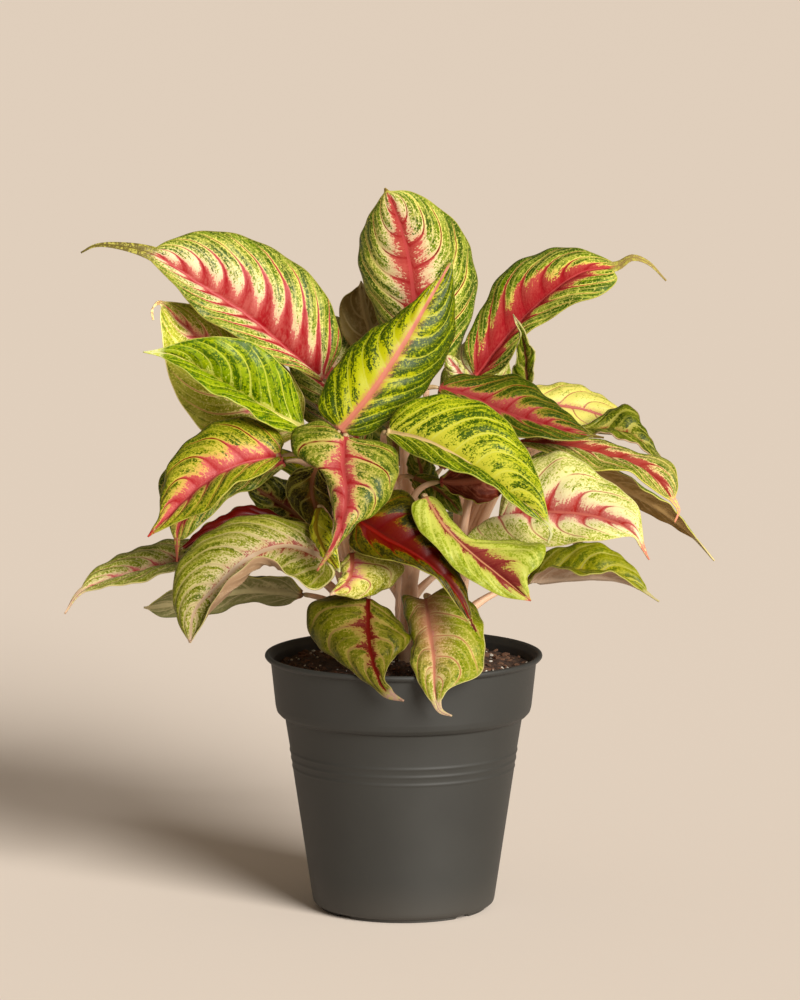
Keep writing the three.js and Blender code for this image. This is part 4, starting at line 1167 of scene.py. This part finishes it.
ROW_PITCH = 1.2  # between the rows of a fine blade
FEWEST_ROWS, MOST_ROWS = 40, 150
BLADE_COLUMNS = 40
DRIP_ROWS = 0.12  # share of the rows that the drip tip has
DRIP_SPAN = 0.1  # how far past 1 the material's share along a blade runs on the drip tip
TOP_LIFT = 0.4  # the upper face lies this far over the middle surface
EDGE_THICKNESS, RIB_THICKNESS = 0.6, 2.6
RIB_SPREAD = 1.7  # how far from the midrib a blade is thick
NECK_SHARE = 0.1  # of a blade, next to its stalk, that is thick all over
QUILT_HEIGHT = 0.8  # of the upper face between two side veins
FURROW_DEPTH, FURROW_SPREAD = 0.4, 1.1  # along a side vein
GROOVE_DEPTH, GROOVE_SPREAD = 0.7, 1.6  # along the midrib
RIPPLE_HEIGHT, RIPPLES = 0.6, 7  # of the margin
FEWEST_VEINS = 4
VEIN_SHIFT = 0.45  # of the right half's side veins against the left's, in vein steps
VEIN_WANDER = 0.08  # how uneven the side veins' steps are
SEED_STEP = 3.7  # between the patterns of two leaves


def vein_phase(blade, u, v):
    """Counts the side veins: a whole number on each, and a share between two of them."""
    count = max(FEWEST_VEINS, round(blade.rib.length * (1 - blade.drip) / VEIN_PITCH))
    share = np.abs(v)
    bent = u - VEIN_LEAN * share - VEIN_SWEEP * share**2
    shift = np.where(v > 0, VEIN_SHIFT, 0.0)
    return count * bent + shift + VEIN_WANDER * np.sin(9 * u + 5 * share)


def relief(phase, reach, from_rib, u):
    """The upper face: a groove on the midrib, furrows on the side veins and quilting between them."""
    calm = np.sin(np.pi * np.minimum(u, 1)) ** 0.5
    fraction = phase - np.floor(phase)
    from_vein = np.minimum(fraction, 1 - fraction) * VEIN_PITCH
    quilt = QUILT_HEIGHT * np.sin(np.pi * fraction) ** 2 * np.sin(np.pi * reach) ** 0.7
    furrow = FURROW_DEPTH * bell(from_vein, FURROW_SPREAD) * np.sin(np.pi * reach) ** 0.5
    groove = GROOVE_DEPTH * bell(from_rib, GROOVE_SPREAD)
    ripple = RIPPLE_HEIGHT * reach**3 * np.sin(2 * np.pi * RIPPLES * u + 2 * reach)
    return calm * (quilt - furrow - groove + ripple)


def leaf_piece(name, leaf, look, number):
    """One blade as a fine curved sheet with its own thickness, thicker under the midrib."""
    blade = Blade(leaf)
    rows = int(np.clip(blade.rib.length / ROW_PITCH, FEWEST_ROWS, MOST_ROWS))
    bm = bmesh.new()
    bmesh.ops.create_grid(bm, x_segments=BLADE_COLUMNS, y_segments=rows, size=1)
    drip_rows = max(2, round(DRIP_ROWS * rows)) / rows
    steps = np.linspace(0, 1, rows + 1)
    u = np.where(steps < 1 - drip_rows, steps / (1 - drip_rows), 2 - (1 - steps) / drip_rows)
    v = np.linspace(-1, 1, BLADE_COLUMNS + 1)
    points, from_rib, from_margin = blade.grid(u, v)

    slope_v = np.gradient(points, v, axis=1)
    slope_u = np.gradient(points, u, axis=0)
    normals = unit(np.cross(slope_v, slope_u))
    uu, vv = np.meshgrid(u, v, indexing="ij")
    phase = vein_phase(blade, uu, vv)
    lift = TOP_LIFT + relief(phase, np.abs(vv), from_rib, uu)
    points = points + normals * lift[:, :, None]
    neck = np.clip(1 - uu / NECK_SHARE, 0, 1)
    ridge = bell(from_rib, RIB_SPREAD) * np.clip(1.1 - uu, 0.05, 1)
    thick = np.clip(np.maximum(ridge, neck), 0, 1)

    coords = bm.verts.layers.float_vector.new("leaf")
    distances = bm.verts.layers.float_vector.new("leaf_mm")
    weights = bm.verts.layers.deform.new()
    for vert in bm.verts:
        i = round((vert.co.y + 1) / 2 * rows)
        j = round((vert.co.x + 1) / 2 * BLADE_COLUMNS)
        vert.co = points[i, j] * MM
        vert[coords] = (min(u[i], 1) + DRIP_SPAN * max(u[i] - 1, 0), v[j], phase[i, j])
        vert[distances] = (u[i] * blade.rib.length, from_rib[i, j], from_margin[i, j])
        vert[weights][0] = thick[i, j]

    seed = SEED_STEP * number
    faces = [leaf_material(name, face, look, seed) for face in ("top", "under")]
    piece = finish_piece(f"{name}_blade", bm, faces, [name])
    piece.vertex_groups.new(name="thick")
    shell = piece.modifiers.new("thickness", "SOLIDIFY")
    shell.thickness = RIB_THICKNESS * MM
    shell.offset = -1
    shell.vertex_group = "thick"
    shell.thickness_vertex_group = EDGE_THICKNESS / RIB_THICKNESS
    shell.use_quality_normals = False
    shell.material_offset = 1
    shell.material_offset_rim = 0
    return piece


# ---- shoots -----------------------------------------------------------------------------------------
STALK_SEGMENTS = 20
CANE_STEPS, STALK_STEPS = 60, 40
CHANNEL_DEPTH, CHANNEL_SPREAD = 0.32, 0.75  # as a share of the radius, and in radians
NODES, NODE_HEIGHT, NODE_SPREAD = 9, 0.35, 0.12  # the rings on a cane
STALK_RADIUS, STALK_FLARE = 1.75, 2.4  # at the blade, and how much more at the cane
STALK_SWELL, SWELL_SHARE, SWELL_SPREAD = 0.5, 0.3, 0.2  # height, and place and length as shares
THINNEST = 0.8


def tube(bm, points, radii, inward, seed):
    """Adds a round stem along points, with a channel on the side that faces inward."""
    layer = bm.verts.layers.float_vector["stalk"]
    steps = len(points) - 1
    made = bmesh.ops.create_circle(bm, segments=STALK_SEGMENTS, radius=1)
    verts = list(made["verts"])
    ring = list({edge for vert in verts for edge in vert.link_edges})
    ends = [ring]
    for _ in range(steps):
        out = bmesh.ops.extrude_edge_only(bm, edges=ring)["geom"]
        ring = [item for item in out if isinstance(item, bmesh.types.BMEdge)]
        ring = [edge for edge in ring if not edge.is_manifold and len(edge.link_faces) == 1]
        raised = [item for item in out if isinstance(item, bmesh.types.BMVert)]
        bmesh.ops.translate(bm, verts=raised, vec=(0, 0, 1))
        verts += raised
    ends.append(ring)
    for end in ends:
        bmesh.ops.edgeloop_fill(bm, edges=end)
    tangents = unit(np.gradient(points, axis=0))
    inner = unit(inward - tangents * np.sum(inward * tangents, axis=1)[:, None])
    sideways = np.cross(inner, tangents)
    for vert in verts:
        k = round(vert.co.z)
        angle = math.atan2(vert.co.y, vert.co.x)
        radius = radii[k] * (1 - CHANNEL_DEPTH * bell(angle, CHANNEL_SPREAD))
        place = points[k] + radius * (math.cos(angle) * inner[k] + math.sin(angle) * sideways[k])
        vert.co = Vector(place) * MM
        vert[layer] = (k / steps, angle / math.pi, seed)


def stalk_route(leaf, foot, top, rise):
    """The stalk leaves its cane upwards and turns into the midrib's line under the blade."""
    root = foot + (top - foot) * rise
    rib = Curve([seen(point) for point in leaf["rib"]])
    heading = rib.heading(0)[0]
    end = rib.point(0)[0] - heading * FIT_GAP
    span = np.linalg.norm(end - root)
    climb = root + unit(top - foot) * span * leaf.get("climb", CLIMB)
    neck = end - heading * span * leaf.get("neck", NECK)
    t = np.linspace(0, 1, STALK_STEPS + 1)[:, None]
    return (1 - t) ** 3 * root + 3 * (1 - t) ** 2 * t * climb + 3 * (1 - t) * t**2 * neck + t**3 * end


def shoot_piece(name, material):
    """A cane with the stalks that grow from it; the lower a blade starts, the lower its stalk."""
    shoot = SHOOTS[name]
    foot = np.array([*shoot["foot"], SOIL_TOP - CANE_DEPTH], float)
    top = np.array(shoot["top"], float)
    bm = bmesh.new()
    bm.verts.layers.float_vector.new("stalk")
    t = np.linspace(0, 1, CANE_STEPS + 1)
    rings = NODE_HEIGHT * bell((t * NODES) % 1 - 0.5, NODE_SPREAD)
    radii = CANE_RADIUS + (CANE_TIP_RADIUS - CANE_RADIUS) * t + rings
    radii = radii * np.sqrt(np.clip((1 - t) * 14, 0, 1))
    radii = np.maximum(radii, THINNEST)
    tube(bm, foot + (top - foot) * t[:, None], radii, np.array([0.0, 1, 0.2]), 0)

    leaves = [leaf for leaf in LEAVES.values() if leaf["shoot"] == name]
    leaves.sort(key=lambda leaf: seen(leaf["rib"][0])[2])
    for k, leaf in enumerate(leaves):
        low, high = STALK_SPREAD
        rise = low + (high - low) * (k + 0.5) / len(leaves)
        route = stalk_route(leaf, foot, top, rise)
        t = np.linspace(0, 1, STALK_STEPS + 1)
        swell = STALK_SWELL * bell(t - SWELL_SHARE, SWELL_SPREAD)
        radii = STALK_RADIUS + STALK_FLARE * (1 - t) ** 1.6 + swell
        radii = radii * np.sqrt(np.clip((1 - t) * 12 + 0.3, 0, 1))
        outward = route[-1] - route[0]
        hinge = np.cross(unit(top - foot), outward)
        inward = np.cross(unit(np.gradient(route, axis=0)), unit(hinge))
        tube(bm, route, radii, inward, k + 1)
    bmesh.ops.recalc_face_normals(bm, faces=bm.faces)
    return finish_piece(f"shoot_{name}_stems", bm, [material], [f"shoot_{name}"])


# ---- pot and soil -----------------------------------------------------------------------------------
POT_SEGMENTS, SOIL_SEGMENTS = 160, 200
MOULD_ROUNDING = 0.6
SOIL_STEP = 1.1  # between the rings of the soil's surface
LUMP_SPAN, LUMP_HEIGHT = 14, 1.2  # of the soil's wide unevenness
CRUMB_SPAN, CRUMB_HEIGHT = 3.2, 1.1
RING_BULGE = 0.5  # of the pot's rings


def body_radius(height):
    return CORNER_RADIUS + (height - CORNER_TOP) * BODY_SLOPE


def pot_profile():
    """The shell's section: under the foot, up the outside, over the lip and down the inside."""
    rings = []
    for height in RING_HEIGHTS:
        radius = body_radius(height)
        rings += [(radius, height), (radius + RING_BULGE, height + 1.2), (radius + 0.2, height + 2.6)]
    return [
        (0, 0),
        (FOOT_RADIUS - 27, 0),
        (FOOT_RADIUS - 25, FOOT_RISE),
        (FOOT_RADIUS - 6, FOOT_RISE),
        (FOOT_RADIUS - 4, 0),
        (FOOT_RADIUS, 0),
        (FOOT_RADIUS, FOOT_RISE),
        (CORNER_RADIUS - 2.2, FOOT_RISE + 0.5),
        (CORNER_RADIUS - 0.6, FOOT_RISE + 1.9),
        (CORNER_RADIUS, CORNER_TOP),
        *rings,
        (body_radius(BAND_FOOT) - 0.1, BAND_FOOT - 1),
        (BAND_RADIUS - 3, BAND_FOOT + 0.2),
        (BAND_RADIUS - 0.8, BAND_FOOT + 2.6),
        (BAND_RADIUS, BAND_START),
        (BAND_TOP_RADIUS, LIP_FOOT),
        (RIM_RADIUS - 1.2, LIP_FOOT + 0.9),
        (RIM_RADIUS, LIP_FOOT + 2.4),
        (RIM_RADIUS - 0.4, POT_HEIGHT - 0.5),
        (RIM_RADIUS - 1.8, POT_HEIGHT),
        (RIM_RADIUS - 3.2, POT_HEIGHT - 0.8),
        (BAND_TOP_RADIUS - WALL, LIP_FOOT),
        (BAND_RADIUS - WALL, BAND_START + 0.2),
        (BAND_RADIUS - 3.2, BAND_START - 3.4),
        (body_radius(BAND_FOOT) - WALL, BAND_FOOT + 0.4),
        (CORNER_RADIUS - WALL, CORNER_TOP + 1),
        (CORNER_RADIUS - 3.4, FLOOR_TOP),
        (0, FLOOR_TOP),
    ]


def soil_profile():
    """The bed's section: its underside and wall, then fine steps over its top to the middle."""
    def edge(radius):
        return radius - WALL - FIT_GAP - 0.5

    rim = edge(BAND_TOP_RADIUS)
    steps = np.arange(rim, 0, -SOIL_STEP)
    top = [(r, SOIL_TOP + SOIL_HEAP * (1 - (r / rim) ** 2)) for r in steps]
    return [
        (0, FLOOR_TOP + FIT_GAP),
        (FOOT_RADIUS + 0.6, FLOOR_TOP + FIT_GAP),
        (edge(CORNER_RADIUS), CORNER_TOP + 1.4),
        (edge(body_radius(BAND_FOOT)), BAND_FOOT + 0.4),
        (edge(BAND_RADIUS), BAND_START + 0.2),
        *top,
        (0, SOIL_TOP + SOIL_HEAP),
    ]


def soil_height(x, y):
    """How far the loose surface stands over or under its even section at a place."""
    wide = noise.fractal(Vector((x / LUMP_SPAN, y / LUMP_SPAN, 3.1)), 1.0, 2.0, 3)
    crumbs = noise.fractal(Vector((x / CRUMB_SPAN, y / CRUMB_SPAN, 8.4)), 1.0, 2.0, 4)
    return LUMP_HEIGHT * wide + CRUMB_HEIGHT * crumbs


def soil_bed(material):
    bm = turned(soil_profile(), SOIL_SEGMENTS)
    for vert in bm.verts:
        x, y, z = vert.co / MM
        if z > SOIL_TOP - 0.5:
            calm = min(1, (BAND_TOP_RADIUS - WALL - 1 - math.hypot(x, y)) / 3 + 0.3)
            vert.co.z += soil_height(x, y) * calm * MM
    return finish_piece("soil_bed", bm, [material], ["soil"])


def scattered(name, material, count, seed, sizes, flat, sink):
    """Small irregular bits lying on the soil, clear of the pot's wall."""
    draw = random.Random(seed)
    bm = bmesh.new()
    outer = BAND_TOP_RADIUS - WALL - 2
    for _ in range(count):
        radius = outer * math.sqrt(draw.random())
        turn = draw.uniform(0, 2 * math.pi)
        x, y = radius * math.cos(turn), radius * math.sin(turn)
        size = draw.uniform(*sizes)
        size = min(size, 2 * (outer + 1.5 - radius))
        base = SOIL_TOP + SOIL_HEAP * (1 - (radius / outer) ** 2) + soil_height(x, y)
        made = bmesh.ops.create_icosphere(bm, subdivisions=1, radius=size / 2)
        stretch = Vector((draw.uniform(0.8, 1.6), draw.uniform(0.6, 1), draw.uniform(*flat)))
        axis = Vector((draw.uniform(-1, 1), draw.uniform(-1, 1), draw.uniform(-1, 1))).normalized()
        spin = Matrix.Rotation(turn * 5, 3, "Z") @ Matrix.Rotation(draw.uniform(-0.5, 0.5), 3, axis)
        middle = Vector((x, y, base + size * sink))
        for vert in made["verts"]:
            rough = 1 + 0.3 * noise.noise(vert.co * 3 + Vector((turn, radius, 0)))
            place = Vector(a * b for a, b in zip(vert.co * rough, stretch))
            vert.co = (spin @ place + middle) * MM
    bmesh.ops.recalc_face_normals(bm, faces=bm.faces)
    piece = finish_piece(name, bm, [material])
    piece.data.polygons.foreach_set("use_smooth", [False] * len(piece.data.polygons))
    return piece


# ---- settings ---------------------------------------------------------------------------------------
def colour_setting(name, description, hexadecimal, reading=linear):
    span = {"size": 3, "min": 0.0, "max": 1.0, "subtype": "COLOR"}
    return FloatVectorProperty(
        name=name, description=description, default=reading(hexadecimal), **span
    )


def amount_setting(name, description, default, **more):
    return FloatProperty(name=name, description=description, default=default, min=0.0, **more)


def count_setting(name, default):
    description = f"How many {name.lower()} lie on top"
    return IntProperty(name=name, description=description, default=default, min=0)


class PotSettings(PropertyGroup):
    colour: colour_setting("Plastic", "Colour of the pot's plastic", "282825")
    roughness: amount_setting(
        "Roughness", "How matte the plastic is", 0.6, max=1.0, subtype="FACTOR"
    )


class SoilSettings(PropertyGroup):
    dark: colour_setting("Wet soil", "Dark tone of the soil", "281A13")
    light: colour_setting("Dry soil", "Light tone of the soil", "563D2A")
    bark: colour_setting("Bark", "Colour of the bark chips", "6E4B36")
    grains: colour_setting("White grains", "Colour of the mineral grains", "DCD6C8")
    chip_count: count_setting("Bark chips", 520)
    grain_count: count_setting("White grains", 170)


class StalkSettings(PropertyGroup):
    colour: colour_setting("Skin", "Main colour of the stalks", "E8B48C")
    streak: colour_setting("Streaks", "Colour of the fine streaks", "F2CEB0")
    foot: colour_setting("Foot", "Colour near the soil", "68553E")
    # Neck: partly painted shade where the stalk runs under its blade.
    neck: colour_setting("Neck", "Colour where a stalk meets its blade", "8A7A46")


KEY_WIDTH = math.radians(32)


class StageSettings(PropertyGroup):
    colour: colour_setting("Paper", "Colour of the floor", "EADED2")
    key_strength: amount_setting("Key light", "Strength of the key light", 5.6)
    key_softness: amount_setting(
        "Softness", "How wide the key light looks from the plant", KEY_WIDTH, subtype="ANGLE"
    )
    room_strength: amount_setting("Room light", "Strength of the even light", 0.2)


def leaf_settings(kind):
    """A group of settings for one kind of leaf: its colours, with the kind's own defaults."""
    fields = {
        key: colour_setting(label, f"{label} of the {kind} leaves", KINDS[kind][key], surface)
        for key, label in LEAF_COLOURS.items()
    }
    for key, label in LEAF_NUMBERS.items():
        fields[key] = FloatProperty(
            name=key.replace("_", " ").capitalize(), description=label, default=KINDS[kind][key]
        )
    return type(f"{kind.capitalize()}LeafSettings", (PropertyGroup,), {"__annotations__": fields})


LEAF_SETTINGS = {kind: leaf_settings(kind) for kind in KINDS}


class EvergreenSettings(PropertyGroup):
    pot: PointerProperty(type=PotSettings, name="Pot", description="The nursery pot")
    soil: PointerProperty(type=SoilSettings, name="Soil", description="What fills the pot")
    stalk: PointerProperty(type=StalkSettings, name="Stalks", description="Canes and leaf stalks")
    stage: PointerProperty(type=StageSettings, name="Stage", description="Floor and light")


for kind, group in LEAF_SETTINGS.items():
    EvergreenSettings.__annotations__[kind] = PointerProperty(
        type=group, name=f"{kind.capitalize()} leaves", description=f"Looks of the {kind} leaves"
    )


# ---- operators --------------------------------------------------------------------------------------
class EVERGREEN_OT_stage(Operator):
    """Lays the floor, hangs the lights and sets the camera"""

    bl_idname = "evergreen.stage"
    bl_label = "Stage, Light and Camera"

    def execute(self, context):
        settings = context.scene.evergreen.stage
        lay_floor(settings)
        hang_lights(context.scene, settings)
        set_camera(context.scene)
        context.scene.view_settings.view_transform = "Standard"
        return {"FINISHED"}


class EVERGREEN_OT_pot(Operator):
    """Builds the nursery pot"""

    bl_idname = "evergreen.pot"
    bl_label = "Pot"

    def execute(self, context):
        bm = turned(rounded(pot_profile(), MOULD_ROUNDING), POT_SEGMENTS)
        half_notch = NOTCH_WIDTH / 2 / FOOT_RADIUS
        for vert in bm.verts:
            x, y, z = vert.co / MM
            turn = (math.atan2(y, x) / (2 * math.pi) * NOTCH_COUNT) % 1 - 0.5
            if z < FOOT_RISE and math.hypot(x, y) > FOOT_RADIUS - 7:
                if abs(turn) * 2 * math.pi / NOTCH_COUNT < half_notch:
                    vert.co.z = FOOT_RISE * MM
        material = pot_material(context.scene.evergreen.pot)
        finish_piece("pot_shell", bm, [material], ["pot"])
        return {"FINISHED"}


CHIP_SEED, GRAIN_SEED = 11, 23


class EVERGREEN_OT_soil(Operator):
    """Fills the pot with soil, and strews bark chips and white grains over it"""

    bl_idname = "evergreen.soil"
    bl_label = "Soil"

    def execute(self, context):
        settings = context.scene.evergreen.soil
        dark, light = tuple(settings.dark), tuple(settings.light)
        bark, grains = tuple(settings.bark), tuple(settings.grains)
        shaded = tuple(0.6 * channel for channel in grains)
        soil_bed(crumb_material("soil_earth", dark, light, 260.0, 0.95, 0.0012))
        chips = crumb_material("soil_bark", light, bark, 420.0, 0.9, 0.0005)
        white = crumb_material("soil_grain", shaded, grains, 600.0, 0.85, 0.0003)
        chip_count, grain_count = settings.chip_count, settings.grain_count
        scattered("soil_bark_chips", chips, chip_count, CHIP_SEED, (1.4, 5.5), (0.25, 0.7), 0.12)
        scattered("soil_white_grains", white, grain_count, GRAIN_SEED, (0.7, 2.0), (0.6, 1), 0.25)
        return {"FINISHED"}


class EVERGREEN_OT_shoots(Operator):
    """Grows the canes with their leaf stalks"""

    bl_idname = "evergreen.shoots"
    bl_label = "Canes and Stalks"

    def execute(self, context):
        material = stalk_material(context.scene.evergreen.stalk)
        for name in SHOOTS:
            shoot_piece(name, material)
        return {"FINISHED"}


class LeafOperator:
    """What the operators for the four kinds of leaves share."""

    def execute(self, context):
        settings = getattr(context.scene.evergreen, self.kind)
        base = {key: tuple(getattr(settings, key)) for key in LEAF_COLOURS}
        base.update({key: getattr(settings, key) for key in LEAF_NUMBERS})
        for number, (name, leaf) in enumerate(LEAVES.items()):
            if leaf["colour"] == self.kind:
                own = LOOKS.get(name, {})
                own = {k: surface(w) if isinstance(w, str) else w for k, w in own.items()}
                leaf_piece(f"leaf_{name}", leaf, {**base, **own}, number)
        return {"FINISHED"}


class EVERGREEN_OT_crimson_leaves(LeafOperator, Operator):
    """Makes the leaves that are flushed with red along the midrib"""

    bl_idname = "evergreen.crimson_leaves"
    bl_label = "Crimson Leaves"
    kind = "crimson"


class EVERGREEN_OT_lime_leaves(LeafOperator, Operator):
    """Makes the yellow-green leaves"""

    bl_idname = "evergreen.lime_leaves"
    bl_label = "Lime Leaves"
    kind = "lime"


class EVERGREEN_OT_cream_leaves(LeafOperator, Operator):
    """Makes the palest leaves"""

    bl_idname = "evergreen.cream_leaves"
    bl_label = "Cream Leaves"
    kind = "cream"


class EVERGREEN_OT_forest_leaves(LeafOperator, Operator):
    """Makes the darkest leaves"""

    bl_idname = "evergreen.forest_leaves"
    bl_label = "Forest Leaves"
    kind = "forest"


OPERATORS = (
    EVERGREEN_OT_stage,
    EVERGREEN_OT_pot,
    EVERGREEN_OT_soil,
    EVERGREEN_OT_shoots,
    EVERGREEN_OT_crimson_leaves,
    EVERGREEN_OT_lime_leaves,
    EVERGREEN_OT_cream_leaves,
    EVERGREEN_OT_forest_leaves,
)


SHOWN_SETTINGS = (
    ("pot", "colour"),
    ("pot", "roughness"),
    ("soil", "chip_count"),
    ("soil", "grain_count"),
    ("stage", "colour"),
)


class EVERGREEN_PT_panel(Panel):
    """Lists the steps that build the potted plant"""

    bl_label = "Potted Chinese Evergreen"
    bl_idname = "EVERGREEN_PT_panel"
    bl_space_type = "VIEW_3D"
    bl_region_type = "UI"
    bl_category = "Evergreen"

    def draw(self, context):
        for operator in OPERATORS:
            self.layout.operator(operator.bl_idname)
        for group, key in SHOWN_SETTINGS:
            self.layout.prop(getattr(context.scene.evergreen, group), key)


# ---- stage ------------------------------------------------------------------------------------------
FLOOR_HALF = 15.0  # wide enough to fill the picture from every side
KEY_AZIMUTH, KEY_ELEVATION = math.radians(34), math.radians(24)  # to the right of the front, and up
KEY_COLOUR = (1.0, 0.965, 0.91)
ROOM_COLOUR = (1.0, 0.84, 0.67, 1.0)


def lay_floor(settings):
    bm = bmesh.new()
    bmesh.ops.create_grid(bm, x_segments=1, y_segments=1, size=FLOOR_HALF)
    mesh = bpy.data.meshes.new("stage_floor")
    bm.to_mesh(mesh)
    bm.free()
    mesh.materials.append(stage_material(settings))
    floor = bpy.data.objects.new("stage_floor", mesh)
    bpy.context.scene.collection.objects.link(floor)
    floor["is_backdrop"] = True


def hang_lights(scene, settings):
    """One soft key, low from the right in front, and an even dim room."""
    data = bpy.data.lights.new("key", "SUN")
    data.energy = settings.key_strength
    data.angle = settings.key_softness
    data.color = KEY_COLOUR
    light = bpy.data.objects.new("key", data)
    level = math.cos(KEY_ELEVATION)
    towards = (level * math.sin(KEY_AZIMUTH), -level * math.cos(KEY_AZIMUTH), math.sin(KEY_ELEVATION))
    light.rotation_euler = Vector(towards).to_track_quat("Z", "Y").to_euler()
    scene.collection.objects.link(light)
    world = bpy.data.worlds.new("room")
    world.use_nodes = True
    background = world.node_tree.nodes["Background"]
    background.inputs["Color"].default_value = ROOM_COLOUR
    background.inputs["Strength"].default_value = settings.room_strength
    scene.world = world


def set_camera(scene):
    data = bpy.data.cameras.new("camera")
    data.sensor_width = SENSOR
    data.lens = FOCAL_PIXELS / PICTURE_HEIGHT * SENSOR
    data.clip_end = 50.0
    camera = bpy.data.objects.new("camera", data)
    camera.location = Vector(VIEW_FROM) * MM
    aim = Vector(VIEW_TO - VIEW_FROM)
    camera.rotation_euler = aim.to_track_quat("-Z", "Y").to_euler()
    scene.collection.objects.link(camera)
    scene.camera = camera


# ---- add-on -----------------------------------------------------------------------------------------
CLASSES = (
    PotSettings,
    SoilSettings,
    StalkSettings,
    StageSettings,
    *LEAF_SETTINGS.values(),
    EvergreenSettings,
    *OPERATORS,
    EVERGREEN_PT_panel,
)


def register():
    for cls in CLASSES:
        bpy.utils.register_class(cls)
    bpy.types.Scene.evergreen = PointerProperty(type=EvergreenSettings)


def unregister():
    del bpy.types.Scene.evergreen
    for cls in reversed(CLASSES):
        bpy.utils.unregister_class(cls)


def main():
    register()
    bpy.ops.evergreen.stage()
    bpy.ops.evergreen.pot()
    bpy.ops.evergreen.soil()
    bpy.ops.evergreen.shoots()
    bpy.ops.evergreen.crimson_leaves()
    bpy.ops.evergreen.lime_leaves()
    bpy.ops.evergreen.cream_leaves()
    bpy.ops.evergreen.forest_leaves()
    boxes = {"cad": CAD_BOX, "visual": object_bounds()}
    boxes = {name: [list(map(float, corner)) for corner in box] for name, box in boxes.items()}


if __name__ == "__main__":
    main()
